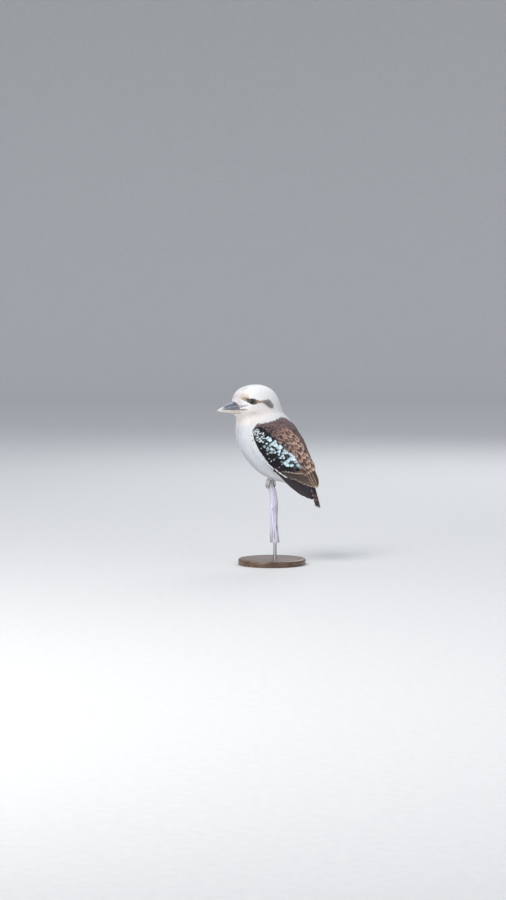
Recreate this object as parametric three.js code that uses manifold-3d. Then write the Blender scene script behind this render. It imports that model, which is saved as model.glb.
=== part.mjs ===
// A laughing kookaburra at life size, perched on the upright tip of a dead branch.
// Millimetres, +Z up. The body lies in the XZ plane and faces -X, its left side is -Y.
// The head is turned towards its left. The origin is the centre of the stand's underside.
import * as THREE from "three";
import { mergeVertices } from "three/addons/utils/BufferGeometryUtils.js";
import Module from "manifold-3d";

const wasm = await Module();
wasm.setup();

// ---------------------------------------------------------------- sizes
const GAP = 0.35; // between pieces that touch
const HEAD_TURN = 40; // degrees, towards the bird's left
const TURN_X = -35; // the neck's upright axis, in X
const TURN_LOW = 308; // height where the neck starts to turn
const TURN_HIGH = 362; // height from which the head is fully turned
const RING = 32; // corners of a body section
const EYE_R = 7.2;
const EYE = { q: 39.9, y: 27.4, z: 378.6 }; // q is forward of the neck's axis
const PERCH_TOP = 193.5;
const PERCH_CUT = 51;
const BASE_R = 78;
const BASE_H = 14;
const ROD_R = 4;

// The bill from the gape to the tip: distance forward, height of the culmen, gape and keel, half width.
const BILL = [
  [41, 382, 362, 350.5, 17.5],
  [56, 381.2, 360.8, 349.6, 15],
  [72, 378.3, 360.2, 351, 12],
  [84, 374.9, 360.2, 352.8, 9.6],
  [95, 370.9, 360.1, 354.2, 7.2],
  [106.3, 364.9, 359.8, 355.8, 4.4],
  [114, 361, 359.2, 357.2, 2.2],
  [118.5, 358.9, 358.4, 357.9, 0.7],
];

// Sections of the feathered body, from the bill's root round the head, down the neck and along the trunk.
// front x, front z, back x, back z, half width, squareness
const SECTIONS = [
  [-98, 350.5, -100, 376, 11, 2.0],
  [-94.5, 347.5, -98.5, 385.5, 16.5, 2.05],
  [-89.5, 344.5, -93, 395.5, 22, 2.1],
  [-85.5, 341.8, -83.5, 404.5, 28, 2.15],
  [-83, 339, -69.5, 411, 32.8, 2.2],
  [-81.5, 336.5, -52, 414.5, 35.5, 2.2],
  [-81, 334, -34, 415.3, 37.3, 2.2],
  [-81.5, 331.5, -16, 411.8, 38.4, 2.2],
  [-82, 328.5, 0.5, 404.3, 39, 2.2],
  [-82.5, 325, 13.5, 392, 39.8, 2.2],
  [-83, 320.5, 22, 377, 41, 2.2],
  [-83.5, 315, 27.5, 362, 42.6, 2.2],
  [-84.2, 308, 33.5, 348, 44.4, 2.2],
  [-84.2, 299.5, 41.5, 335.5, 46.2, 2.2],
  [-81.8, 287.5, 51.5, 322, 47.8, 2.2],
  [-74, 268, 62.5, 304.5, 49, 2.2],
  [-61.5, 247, 73.5, 286.5, 48.6, 2.2],
  [-45.5, 227.5, 81, 266.5, 46.5, 2.2],
  [-27, 210.5, 86.5, 246, 43, 2.15],
  [-7.5, 199.5, 90, 227, 38, 2.1],
  [11, 194, 92, 208.5, 32, 2.1],
  [29.5, 189.5, 93.5, 194, 25.5, 2.05],
  [46, 181.5, 95, 181, 19, 2.0],
  [61, 170.5, 97, 168.5, 12.5, 2.0],
];
// the section numbers of the rows that the solids are built from, and the rows where they part
const ROWS = [
  0, 1, 2, 3, 4, 5, 6, 7, 8, 9, 9.8, 10.6, 11.4, 12.2, 13, 13.7, 14.4, 15.1, 15.8, 16.5, 17.3, 18.1, 19, 20, 21, 22, 23,
];
const HEAD_ROW = 11;
const NECK_ROW = 14;
const END_ROW = ROWS.length - 1;

// The folded wing's edges seen from the side, x and z, from the shoulder to the tip.
const WING_LOW = [
  [-41, 320], [-44.5, 305], [-41.5, 286], [-32, 265], [-17, 245], [1, 227],
  [19, 209.5], [38.5, 188.5], [59, 169], [79.5, 153.5], [96, 143.5],
];
const WING_TOP = [
  [-33, 326.5], [-12, 329.5], [11, 325.5], [33, 314.5], [52, 298.5], [68.5, 279.5],
  [84, 257.5], [95.5, 235], [103, 212], [107.5, 190], [104.5, 164],
];
// how far the wing stands out sideways where it is free of the body, at its low edge
const WING_OUT = [30, 38, 44, 47, 48, 47, 43, 37, 30, 23, 17];

const TAIL_ROOT = [77, 234]; // seen from the side
const TAIL_TIP = [110.5, 130];
const TAIL_W0 = 15; // half widths
const TAIL_W1 = 28;

// ---------------------------------------------------------------- helpers
const rad = (d) => (d * Math.PI) / 180;
const clamp = (x, a, b) => Math.min(b, Math.max(a, x));
const smooth = (a, b, x) => {
  const t = clamp((x - a) / (b - a), 0, 1);
  return t * t * (3 - 2 * t);
};

// A smooth curve through the rows of a table, at row number t.
function along(table, t) {
  const n = table.length - 1;
  const i = clamp(Math.floor(t), 0, n - 1);
  const f = t - i;
  const row = (k) => (Array.isArray(table[clamp(k, 0, n)]) ? table[clamp(k, 0, n)] : [table[clamp(k, 0, n)]]);
  const [a, b, c, d] = [row(i - 1), row(i), row(i + 1), row(i + 2)];
  return b.map((_, k) => {
    const m0 = (c[k] - a[k]) / (i === 0 ? 1 : 2);
    const m1 = (d[k] - b[k]) / (i + 1 === n ? 1 : 2);
    const f2 = f * f;
    const f3 = f2 * f;
    return (
      (2 * f3 - 3 * f2 + 1) * b[k] + (f3 - 2 * f2 + f) * m0 + (3 * f2 - 2 * f3) * c[k] + (f3 - f2) * m1
    );
  });
}

// The head's turn, applied to a point by its height.
function turned([x, y, z]) {
  const a = rad(HEAD_TURN) * smooth(TURN_LOW, TURN_HIGH, z);
  const [c, s] = [Math.cos(a), Math.sin(a)];
  const dx = x - TURN_X;
  return [TURN_X + dx * c - y * s, dx * s + y * c, z];
}

// A point of the head's own frame: q forward of the neck's axis, y to the right, z up.
const onHead = (q, y, z) => {
  const [c, s] = [Math.cos(rad(HEAD_TURN)), Math.sin(rad(HEAD_TURN))];
  return [TURN_X - q * c - y * s, -q * s + y * c, z];
};

// One ring of the body, grown by g and moved by off along its own normal.
function section(t, g = 0, off = 0) {
  const [fx, fz, bx, bz, w, k] = along(SECTIONS, t);
  const cx = (fx + bx) / 2;
  const cz = (fz + bz) / 2;
  const hx = (fx - bx) / 2;
  const hz = (fz - bz) / 2;
  const h = Math.hypot(hx, hz);
  const [ux, uz] = [hx / h, hz / h];
  const [nx, nz] = [-uz, ux]; // along the body, towards the tail
  const ring = [];
  for (let i = 0; i < RING; i++) {
    const a = (i / RING) * 2 * Math.PI;
    const ca = Math.sign(Math.cos(a)) * Math.abs(Math.cos(a)) ** (2 / k);
    const sa = Math.sign(Math.sin(a)) * Math.abs(Math.sin(a)) ** (2 / k);
    const r = (h + g) * ca;
    ring.push([cx + ux * r - nx * off, (w + g) * sa, cz + uz * r - nz * off]);
  }
  return ring;
}

// Half width of the body, grown by g, at a point seen from the side, or less than 0 outside it.
function sideOf(x, z, g = 0) {
  let lo = 10;
  let hi = ROWS[END_ROW];
  const side = (t) => {
    const [fx, fz, bx, bz] = along(SECTIONS, t);
    return (bx - fx) * (z - fz) - (bz - fz) * (x - fx);
  };
  for (let i = 0; i < 30; i++) {
    const mid = (lo + hi) / 2;
    if (side(mid) > 0) hi = mid;
    else lo = mid;
  }
  const [fx, fz, bx, bz, w, k] = along(SECTIONS, lo);
  const len = Math.hypot(bx - fx, bz - fz);
  const f = ((x - fx) * (bx - fx) + (z - fz) * (bz - fz)) / len ** 2;
  const c = (Math.abs(1 - 2 * f) * len) / (len + 2 * g);
  if (c >= 1) return -(c - 1) * 60;
  return (w + g) * (1 - c ** k) ** (1 / k);
}

// A closed skin over rings of equal count, with a fan on each end.
function skin(rings) {
  const n = rings[0].length;
  const pos = rings.flat(2);
  const idx = [];
  for (let j = 0; j + 1 < rings.length; j++)
    for (let i = 0; i < n; i++) {
      const [a, b] = [j * n + i, j * n + ((i + 1) % n)];
      idx.push(a, b, b + n, a, b + n, a + n);
    }
  for (const [j, flip] of [[0, true], [rings.length - 1, false]]) {
    const c = pos.length / 3;
    const mid = [0, 1, 2].map((k) => rings[j].reduce((s, p) => s + p[k], 0) / n);
    pos.push(...mid);
    for (let i = 0; i < n; i++) {
      const [a, b] = [j * n + i, j * n + ((i + 1) % n)];
      if (flip) idx.push(c, b, a);
      else idx.push(c, a, b);
    }
  }
  const g = new THREE.BufferGeometry();
  g.setAttribute("position", new THREE.Float32BufferAttribute(pos, 3));
  g.setIndex(idx);
  return solid(g);
}

function solid(geometry) {
  const g = geometry.clone();
  for (const name of Object.keys(g.attributes)) if (name !== "position") g.deleteAttribute(name);
  const m = mergeVertices(g, 1e-4);
  const build = (tri) =>
    new wasm.Manifold(
      new wasm.Mesh({ numProp: 3, vertProperties: m.attributes.position.array, triVerts: new Uint32Array(tri) }),
    );
  const made = build(m.index.array);
  if (made.volume() > 0) return made;
  const t = Array.from(m.index.array);
  for (let i = 0; i < t.length; i += 3) [t[i + 1], t[i + 2]] = [t[i + 2], t[i + 1]];
  return build(t);
}

// The largest single body of a solid.
const largest = (s) => s.decompose().reduce((a, b) => (b.volume() > a.volume() ? b : a));

function geometryOf(s) {
  const m = s.getMesh();
  const v = new Float32Array(m.numVert * 3);
  for (let i = 0; i < m.numVert; i++)
    v.set(m.vertProperties.subarray(i * m.numProp, i * m.numProp + 3), i * 3);
  const g = new THREE.BufferGeometry();
  g.setAttribute("position", new THREE.BufferAttribute(v, 3));
  g.setIndex(new THREE.BufferAttribute(new Uint32Array(m.triVerts), 1));
  g.computeVertexNormals();
  return g;
}

// A round tube through points with a radius at each, closed by flat ends.
function tube(points, radii, corners, steps, squash = 1) {
  const curve = new THREE.CatmullRomCurve3(points.map((p) => new THREE.Vector3(...p)), false, "centripetal");
  const rings = [];
  let normal = null;
  for (let j = 0; j <= steps; j++) {
    const t = j / steps;
    const p = curve.getPoint(t);
    const dir = curve.getTangent(t).normalize();
    if (!normal) {
      normal = new THREE.Vector3(0, 0, 1);
      if (Math.abs(dir.z) > 0.9) normal.set(0, 1, 0);
    }
    normal.sub(dir.clone().multiplyScalar(normal.dot(dir))).normalize();
    const side = new THREE.Vector3().crossVectors(dir, normal);
    const r = along(radii, t * (radii.length - 1))[0];
    const ring = [];
    for (let i = 0; i < corners; i++) {
      const a = (i / corners) * 2 * Math.PI;
      const v = p
        .clone()
        .addScaledVector(normal, Math.cos(a) * r * squash)
        .addScaledVector(side, Math.sin(a) * r);
      ring.push([v.x, v.y, v.z]);
    }
    rings.push(ring);
  }
  return skin(rings);
}

// ---------------------------------------------------------------- body, neck and head
function bodyPiece(from, to, g = 0, startGap = 0) {
  const rings = [];
  for (let j = from; j <= to; j++) rings.push(section(ROWS[j], g, j === from ? -startGap : 0).map(turned));
  return skin(rings);
}

// ---------------------------------------------------------------- bill
// One half of the bill, as sections along its length from the gape to the tip.
function mandible(upper, g = 0) {
  const steps = 10;
  const arc = 8;
  const up = upper ? 1 : -1;
  const rings = [];
  for (let j = g > 0 ? -1 : 0; j <= steps; j++) {
    const [q, culmen, gape, keel, w] = along(BILL, (Math.max(j, 0) / steps) * (BILL.length - 1));
    const tall = Math.abs((upper ? culmen : keel) - gape) - GAP / 2;
    const edge = gape + up * (GAP / 2 - g);
    const ring = [];
    for (let i = 0; i <= arc; i++) {
      const a = (i / arc) * Math.PI;
      ring.push([q - (j < 0 ? g : 0), Math.cos(a) * (w + g), edge + up * (Math.sin(a) ** 0.85 * (tall + g) + g * Math.sin(a))]);
    }
    rings.push(ring.map((p) => onHead(...p)));
  }
  return skin(rings);
}
const upperGrown = mandible(true, GAP);
const billUpper = mandible(true);
const billLower = largest(mandible(false).subtract(upperGrown));

// ---------------------------------------------------------------- eyes
function eyeball(side, r) {
  const g = new THREE.SphereGeometry(r, 14, 9);
  g.rotateX(Math.PI / 2);
  g.rotateZ(rad(HEAD_TURN));
  g.translate(...onHead(EYE.q, side * EYE.y, EYE.z));
  return solid(g);
}

let head = bodyPiece(0, HEAD_ROW);
for (const cut of [upperGrown, mandible(false, GAP), eyeball(-1, EYE_R + GAP), eyeball(1, EYE_R + GAP)])
  head = head.subtract(cut);
head = largest(head);

const neck = bodyPiece(HEAD_ROW, NECK_ROW, 0, GAP);

// ---------------------------------------------------------------- perch and stand
const PERCH_LINE = [
  [-2.3, 0, PERCH_TOP], [-1.2, 0, 180], [2, 0.5, 166], [4.2, 0.8, 143], [3.8, 0, 113], [5, -0.6, 81], [6.6, 0, 60], [7, 0, PERCH_CUT],
];
const PERCH_R = [6.2, 7.6, 8.1, 8.5, 8.3, 9, 10.6, 11];
// a grain-like waviness round the wood
function woody(points, radii, corners, steps, g = 0) {
  const curve = new THREE.CatmullRomCurve3(points.map((p) => new THREE.Vector3(...p)), false, "centripetal");
  const rings = [];
  for (let j = 0; j <= steps; j++) {
    const t = j / steps;
    const p = curve.getPoint(t);
    const r = along(radii, t * (radii.length - 1))[0] + g;
    const ring = [];
    for (let i = 0; i < corners; i++) {
      const a = (i / corners) * 2 * Math.PI;
      const k = 1 + 0.05 * Math.sin(3 * a + 5 * t) + 0.03 * Math.sin(5 * a - 9 * t);
      ring.push([p.x + Math.cos(a) * r * k, p.y + Math.sin(a) * r * k, p.z]);
    }
    rings.push(ring);
  }
  return skin(rings);
}
const perch = woody(PERCH_LINE, PERCH_R, 16, 12);

const lathe = (profile, n, x = 0) => {
  const g = new THREE.LatheGeometry(profile.map(([r, z]) => new THREE.Vector2(r, z)), n);
  g.rotateX(Math.PI / 2);
  g.translate(x, 0, 0);
  return solid(g);
};
const base = lathe(
  [[0, 0], [BASE_R - 1.5, 0], [BASE_R, 1.5], [BASE_R, BASE_H - 4], [BASE_R - 1.2, BASE_H - 1.5], [BASE_R - 4, BASE_H], [0, BASE_H]],
  48,
);
const ROD_X = 7;
const rod = lathe([[0, BASE_H + GAP], [ROD_R, BASE_H + GAP], [ROD_R, PERCH_CUT - GAP], [0, PERCH_CUT - GAP]], 18, ROD_X);

// ---------------------------------------------------------------- legs, toes and claws
const PX = PERCH_LINE[0][0]; // the perch tip's axis
// each toe: angle round the perch from straight ahead, how far it reaches down, thickness
const TOES = [
  ["1", 142, 7.5, 2.0],
  ["2", 14, 8, 1.95],
  ["3", 40, 11, 2.15],
  ["4", 64, 9, 1.95],
];
const CLAW = 7.5;
const SHANK = [[9, 13.5, 217], [6, 11, 209], [2, 7.8, 200.5], [PX + 1.5, 6.2, PERCH_TOP + 3.4]];
const perchGrown = woody(PERCH_LINE, PERCH_R, 16, 12, GAP).add(
  lathe([[0, PERCH_TOP - 2], [6.4, PERCH_TOP - 2], [6.4, PERCH_TOP + GAP], [0, PERCH_TOP + GAP]], 18, PX),
);
function foot(side, g = 0) {
  const claws = [];
  const shank = SHANK.map(([x, y, z], i) => [x, side * y, z + (i === 0 ? g : 0)]);
  let leg = tube(shank, [3.8 + g, 3 + g, 2.5 + g, 3.1 + g], 8, 6);
  for (const [name, angle, reach, r] of TOES) {
    const a = rad(angle);
    const at = (rho, z) => [PX - Math.cos(a) * rho, side * Math.sin(a) * rho, z];
    const rim = 8.4 + r;
    const path = [
      shank[3],
      at(rim - 3.4, PERCH_TOP + r + 0.9),
      at(rim + 0.1, PERCH_TOP - 1.2),
      at(rim + 0.6, PERCH_TOP - 5),
      at(rim + 0.9, PERCH_TOP - reach - g),
    ];
    leg = leg.add(tube(path, [r * 1.15 + g, r * 1.08 + g, r + g, r * 0.95 + g, r * 0.8 + g], 6, 6));
    const claw = tube(
      [at(rim + 0.9, PERCH_TOP - reach - GAP), at(rim + 1.3, PERCH_TOP - reach - CLAW * 0.45), at(rim - 0.4, PERCH_TOP - reach - CLAW)],
      [r * 0.72, r * 0.55, 0.3],
      6,
      4,
    );
    claws.push([name, claw.subtract(perchGrown)]);
  }
  return { leg, claws };
}
const feet = { left: foot(-1), right: foot(1) };
const grownLegs = foot(-1, GAP).leg.add(foot(1, GAP).leg);
feet.left.leg = largest(feet.left.leg.subtract(perchGrown));
feet.right.leg = largest(feet.right.leg.subtract(perchGrown).subtract(foot(-1, GAP).leg));

// ---------------------------------------------------------------- wings
// Rings across the folded wing from the shoulder to the tip: out over its back, and home inside it.
function wing(side) {
  const rows = 20;
  const across = 9;
  const rings = [];
  for (let j = 0; j <= rows; j++) {
    const t = (j / rows) * (WING_LOW.length - 1);
    const u = j / rows;
    const [lx, lz] = along(WING_LOW, t);
    const [tx, tz] = along(WING_TOP, t);
    const out = along(WING_OUT, t)[0];
    const outer = [];
    const inner = [];
    for (let i = 0; i <= across; i++) {
      const v = (i / across) ** 0.85;
      const x = lx + (tx - lx) * v;
      const z = lz + (tz - lz) * v;
      const ridge = 5 + 16 * (1 - smooth(0, 0.5, u)); // the top edge's distance from the middle
      const free = ridge + (out - ridge) * Math.sqrt(Math.max(0, 1 - v ** 2.4));
      const lift = (2.4 + 4.2 * Math.sin(Math.PI * clamp(v * 0.86 + 0.07, 0, 1))) * smooth(-0.06, 0.12, u);
      const body = sideOf(x, z, lift);
      const m = 5; // a soft maximum of the two
      const h = clamp(0.5 + (body - free) / (2 * m), 0, 1);
      const y = Math.max(body * h + free * (1 - h) + m * h * (1 - h), 3);
      const thick = (1.2 + 9 * Math.sin(Math.PI * clamp(v, 0.03, 0.97)) ** 0.7) * (1 - 0.62 * smooth(0.55, 1, u));
      outer.push([x, side * y, z]);
      inner.push([x, side * Math.max(1.2, y - thick), z]);
    }
    rings.push([...outer, ...inner.reverse()].map(turned));
  }
  return skin(rings);
}

// ---------------------------------------------------------------- tail
function tail(g = 0) {
  const rows = 10;
  const across = 10;
  const rings = [];
  const dx = TAIL_TIP[0] - TAIL_ROOT[0];
  const dz = TAIL_TIP[1] - TAIL_ROOT[1];
  const len = Math.hypot(dx, dz);
  const [ax, az] = [dx / len, dz / len];
  const [nx, nz] = [-az, ax]; // the tail's upper side, away from the belly
  for (let j = 0; j <= rows; j++) {
    const f = j / rows;
    const w = TAIL_W0 + (TAIL_W1 - TAIL_W0) * f ** 0.8 + g;
    const arch = 6.5 + 1.5 * f;
    const thick = 3.2 - 1.5 * f + g;
    const top = [];
    const low = [];
    for (let i = 0; i <= across; i++) {
      const s = (i / across) * 2 - 1;
      const end = f * len * 1 - (j === rows ? 5 * Math.abs(s) ** 2.5 : 0) + (g && j === rows ? g : 0);
      const bow = -arch * s * s + 2 * Math.sin(Math.PI * f);
      const t = thick * (1 - 0.55 * s * s);
      top.push([TAIL_ROOT[0] + ax * end + nx * (bow + t), w * s, TAIL_ROOT[1] + az * end + nz * (bow + t)]);
      low.push([TAIL_ROOT[0] + ax * end + nx * (bow - t), w * s, TAIL_ROOT[1] + az * end + nz * (bow - t)]);
    }
    rings.push([...top, ...low.reverse()]);
  }
  return skin(rings);
}

const trunkGrown = bodyPiece(NECK_ROW - 1, END_ROW, GAP);
const trunk = largest(bodyPiece(NECK_ROW, END_ROW, 0, GAP).subtract(grownLegs).subtract(perchGrown));
const tailPiece = largest(tail().subtract(trunkGrown));
const clearOfBody = trunkGrown.add(tail(GAP)).add(bodyPiece(HEAD_ROW - 1, NECK_ROW, GAP));
const wings = {
  left: largest(wing(-1).subtract(clearOfBody)),
  right: largest(wing(1).subtract(clearOfBody)),
};

// ---------------------------------------------------------------- materials and scene graph
const paint = (hex, roughness, metalness = 0) => new THREE.MeshStandardMaterial({ color: hex, roughness, metalness });
const LOOK = {
  white: paint(0xece6da, 0.85),
  brown: paint(0x4a382c, 0.8),
  tail: paint(0x6b4a33, 0.8),
  horn: paint(0x2c2b2d, 0.45),
  pale: paint(0xc9b795, 0.5),
  eye: paint(0x1a1210, 0.12),
  foot: paint(0x77756a, 0.7),
  claw: paint(0x2a2826, 0.4),
  wood: paint(0xb9b2ab, 0.85),
  base: paint(0x3a2a20, 0.5),
  rod: paint(0x8c8c8c, 0.35, 1),
};

const bird = new THREE.Group();
function place(parent, name, s, look) {
  const mesh = new THREE.Mesh(geometryOf(s), look);
  mesh.name = name;
  parent.add(mesh);
}
const headGroup = new THREE.Group();
place(headGroup, "head", head, LOOK.white);
place(headGroup, "bill_upper", billUpper, LOOK.horn);
place(headGroup, "bill_lower", billLower, LOOK.pale);
place(headGroup, "eye_left", eyeball(-1, EYE_R), LOOK.eye);
place(headGroup, "eye_right", eyeball(1, EYE_R), LOOK.eye);
bird.add(headGroup);
place(bird, "neck", neck, LOOK.white);
place(bird, "trunk", trunk, LOOK.white);
place(bird, "wing_left", wings.left, LOOK.brown);
place(bird, "wing_right", wings.right, LOOK.brown);
place(bird, "tail", tailPiece, LOOK.tail);
for (const [name, f] of Object.entries(feet)) {
  const limb = new THREE.Group();
  place(limb, "leg_" + name, f.leg, LOOK.foot);
  for (const [n, c] of f.claws) place(limb, "claw_" + name + "_" + n, c, LOOK.claw);
  bird.add(limb);
}
place(bird, "perch", perch, LOOK.wood);
const stand = new THREE.Group();
place(stand, "stand_base", base, LOOK.base);
place(stand, "stand_rod", rod, LOOK.rod);
bird.add(stand);

export default bird;
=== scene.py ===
import math

import bpy
import numpy as np
from mathutils import Matrix, Vector
from mathutils.kdtree import KDTree


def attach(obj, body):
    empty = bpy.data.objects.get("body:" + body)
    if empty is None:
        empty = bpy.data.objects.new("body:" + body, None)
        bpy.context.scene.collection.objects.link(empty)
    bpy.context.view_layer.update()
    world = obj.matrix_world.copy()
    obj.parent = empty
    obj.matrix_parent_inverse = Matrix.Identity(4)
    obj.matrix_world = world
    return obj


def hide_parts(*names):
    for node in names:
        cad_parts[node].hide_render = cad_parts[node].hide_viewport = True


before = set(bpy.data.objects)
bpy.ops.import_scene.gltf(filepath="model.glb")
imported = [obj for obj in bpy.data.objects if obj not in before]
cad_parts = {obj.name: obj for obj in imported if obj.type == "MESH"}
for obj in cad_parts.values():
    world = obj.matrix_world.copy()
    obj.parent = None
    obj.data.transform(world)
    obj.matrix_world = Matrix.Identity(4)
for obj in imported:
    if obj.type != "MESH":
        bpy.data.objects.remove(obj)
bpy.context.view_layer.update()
scene = bpy.context.scene
RNG = np.random.default_rng(20)
MM = 0.001


# ---------------------------------------------------------------- form, in millimetres
# The bird faces -X and its left side is -Y. These are the shapes that the solids have.
HEAD_TURN = math.radians(40)
TURN_X, TURN_LOW, TURN_HIGH = -35.0, 308.0, 362.0
EYE_R = 7.2
EYE_AT = (39.9, 27.4, 378.6)
PERCH_TOP, PERCH_CUT = 193.5, 51.0
BASE_R, BASE_H, ROD_R, ROD_X = 78.0, 14.0, 4.0, 7.0
GAP = 0.35

# the bill from the gape to the tip: distance forward, height of the culmen, gape and keel, half width
BILL = np.array([
    [41, 382, 362, 350.5, 17.5], [56, 381.2, 360.8, 349.6, 15], [72, 378.3, 360.2, 351, 12],
    [84, 374.9, 360.2, 352.8, 9.6], [95, 370.9, 360.1, 354.2, 7.2], [106.3, 364.9, 359.8, 355.8, 4.4],
    [114, 361, 359.2, 357.2, 2.2], [118.5, 358.9, 358.4, 357.9, 0.7],
])
# sections of the feathered body: front x, front z, back x, back z, half width, squareness
SECTIONS = np.array([
    [-98, 350.5, -100, 376, 11, 2.0], [-94.5, 347.5, -98.5, 385.5, 16.5, 2.05], [-89.5, 344.5, -93, 395.5, 22, 2.1],
    [-85.5, 341.8, -83.5, 404.5, 28, 2.15], [-83, 339, -69.5, 411, 32.8, 2.2], [-81.5, 336.5, -52, 414.5, 35.5, 2.2],
    [-81, 334, -34, 415.3, 37.3, 2.2], [-81.5, 331.5, -16, 411.8, 38.4, 2.2], [-82, 328.5, 0.5, 404.3, 39, 2.2],
    [-82.5, 325, 13.5, 392, 39.8, 2.2], [-83, 320.5, 22, 377, 41, 2.2], [-83.5, 315, 27.5, 362, 42.6, 2.2],
    [-84.2, 308, 33.5, 348, 44.4, 2.2], [-84.2, 299.5, 41.5, 335.5, 46.2, 2.2], [-81.8, 287.5, 51.5, 322, 47.8, 2.2],
    [-74, 268, 62.5, 304.5, 49, 2.2], [-61.5, 247, 73.5, 286.5, 48.6, 2.2], [-45.5, 227.5, 81, 266.5, 46.5, 2.2],
    [-27, 210.5, 86.5, 246, 43, 2.15], [-7.5, 199.5, 90, 227, 38, 2.1], [11, 194, 92, 208.5, 32, 2.1],
    [29.5, 189.5, 93.5, 194, 25.5, 2.05], [46, 181.5, 95, 181, 19, 2.0], [61, 170.5, 97, 168.5, 12.5, 2.0],
])
T_END = float(len(SECTIONS) - 1)
# the folded wing's lower and upper edges seen from the side, and how far it stands out at its lower edge
WING_LOW = np.array([[-41, 320], [-44.5, 305], [-41.5, 286], [-32, 265], [-17, 245], [1, 227], [19, 209.5], [38.5, 188.5], [59, 169], [79.5, 153.5], [96, 143.5]])
WING_TOP = np.array([[-33, 326.5], [-12, 329.5], [11, 325.5], [33, 314.5], [52, 298.5], [68.5, 279.5], [84, 257.5], [95.5, 235], [103, 212], [107.5, 190], [104.5, 164]])
WING_OUT = np.array([30, 38, 44, 47, 48, 47, 43, 37, 30, 23, 17.0])
TAIL_ROOT, TAIL_TIP = np.array([77.0, 234.0]), np.array([110.5, 130.0])


def smooth(a, b, x):
    t = np.clip((np.asarray(x, float) - a) / (b - a), 0, 1)
    return t * t * (3 - 2 * t)


def along(table, t):
    """A smooth curve through the rows of a table, at row number t."""
    table = np.asarray(table, float)
    if table.ndim == 1:
        table = table[:, None]
    n = len(table) - 1
    t = np.asarray(t, float)
    i = np.clip(np.floor(t).astype(int), 0, n - 1)
    f = np.clip(t - i, -0.5, 1.5)[..., None]
    a, b = table[np.clip(i - 1, 0, n)], table[i]
    c, d = table[np.clip(i + 1, 0, n)], table[np.clip(i + 2, 0, n)]
    m0 = (c - a) / np.where(i == 0, 1.0, 2.0)[..., None]
    m1 = (d - b) / np.where(i + 1 == n, 1.0, 2.0)[..., None]
    f2, f3 = f * f, f * f * f
    return (2 * f3 - 3 * f2 + 1) * b + (f3 - 2 * f2 + f) * m0 + (3 * f2 - 2 * f3) * c + (f3 - f2) * m1


def turn_angle(z):
    return HEAD_TURN * smooth(TURN_LOW, TURN_HIGH, z)


def turned(p, back=False):
    """The head's turn by height, or its undoing."""
    a = turn_angle(p[..., 2]) * (-1 if back else 1)
    c, s = np.cos(a), np.sin(a)
    dx, y = p[..., 0] - TURN_X, p[..., 1]
    return np.stack([TURN_X + dx * c - y * s, dx * s + y * c, p[..., 2]], -1)


def on_head(q, y, z):
    """A point of the head's own frame: q forward of the neck's axis, y to the right, z up."""
    c, s = math.cos(HEAD_TURN), math.sin(HEAD_TURN)
    q, y, z = np.broadcast_arrays(np.asarray(q, float), y, z)
    return np.stack([TURN_X - q * c - y * s, -q * s + y * c, z], -1)


def head_frame(p):
    c, s = math.cos(HEAD_TURN), math.sin(HEAD_TURN)
    dx, y = p[..., 0] - TURN_X, p[..., 1]
    return -c * dx - s * y, -s * dx + c * y, p[..., 2]


def body(t, a, g=0.0):
    """The feathered body's surface at section t and angle a, which is 0 in front and pi at the back, grown by g."""
    t, a, g = np.broadcast_arrays(np.asarray(t, float), np.asarray(a, float), np.asarray(g, float))
    row = along(SECTIONS, t)
    fx, fz, bx, bz, w, k = np.moveaxis(row, -1, 0)
    cx, cz, hx, hz = (fx + bx) / 2, (fz + bz) / 2, (fx - bx) / 2, (fz - bz) / 2
    h = np.hypot(hx, hz)
    ca, sa = np.cos(a), np.sin(a)
    ca = np.sign(ca) * np.abs(ca) ** (2 / k)
    sa = np.sign(sa) * np.abs(sa) ** (2 / k)
    r = (h + g) * ca
    return turned(np.stack([cx + hx / h * r, (w + g) * sa, cz + hz / h * r], -1))


def side_place(x, z):
    """Section number and depth from front to back of a point seen from the side, before the head's turn."""
    x, z = np.broadcast_arrays(np.asarray(x, float), np.asarray(z, float))
    lo, hi = np.full(x.shape, 10.0), np.full(x.shape, T_END)
    for _ in range(24):
        mid = (lo + hi) / 2
        fx, fz, bx, bz = np.moveaxis(along(SECTIONS[:, :4], mid), -1, 0)
        past = (bx - fx) * (z - fz) - (bz - fz) * (x - fx) > 0
        hi, lo = np.where(past, mid, hi), np.where(past, lo, mid)
    return lo


def side_of(x, z, g=0.0):
    """Half width of the body, grown by g, at a point seen from the side, below 0 outside it."""
    fx, fz, bx, bz, w, k = np.moveaxis(along(SECTIONS, side_place(x, z)), -1, 0)
    length = np.hypot(bx - fx, bz - fz)
    f = ((x - fx) * (bx - fx) + (z - fz) * (bz - fz)) / length**2
    c = np.abs(1 - 2 * f) * length / (length + 2 * g)
    return np.where(c >= 1, -(c - 1) * 60, (w + g) * np.clip(1 - c**k, 0, 1) ** (1 / k))


def wing_flat(u, v):
    """Where the folded wing's point u, v is seen from the side: u from shoulder to tip, v from the lower edge up."""
    t = np.clip(u, 0, 1) * (len(WING_LOW) - 1)
    low, top = along(WING_LOW, t), along(WING_TOP, t)
    return low + (top - low) * np.asarray(v)[..., None]


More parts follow.
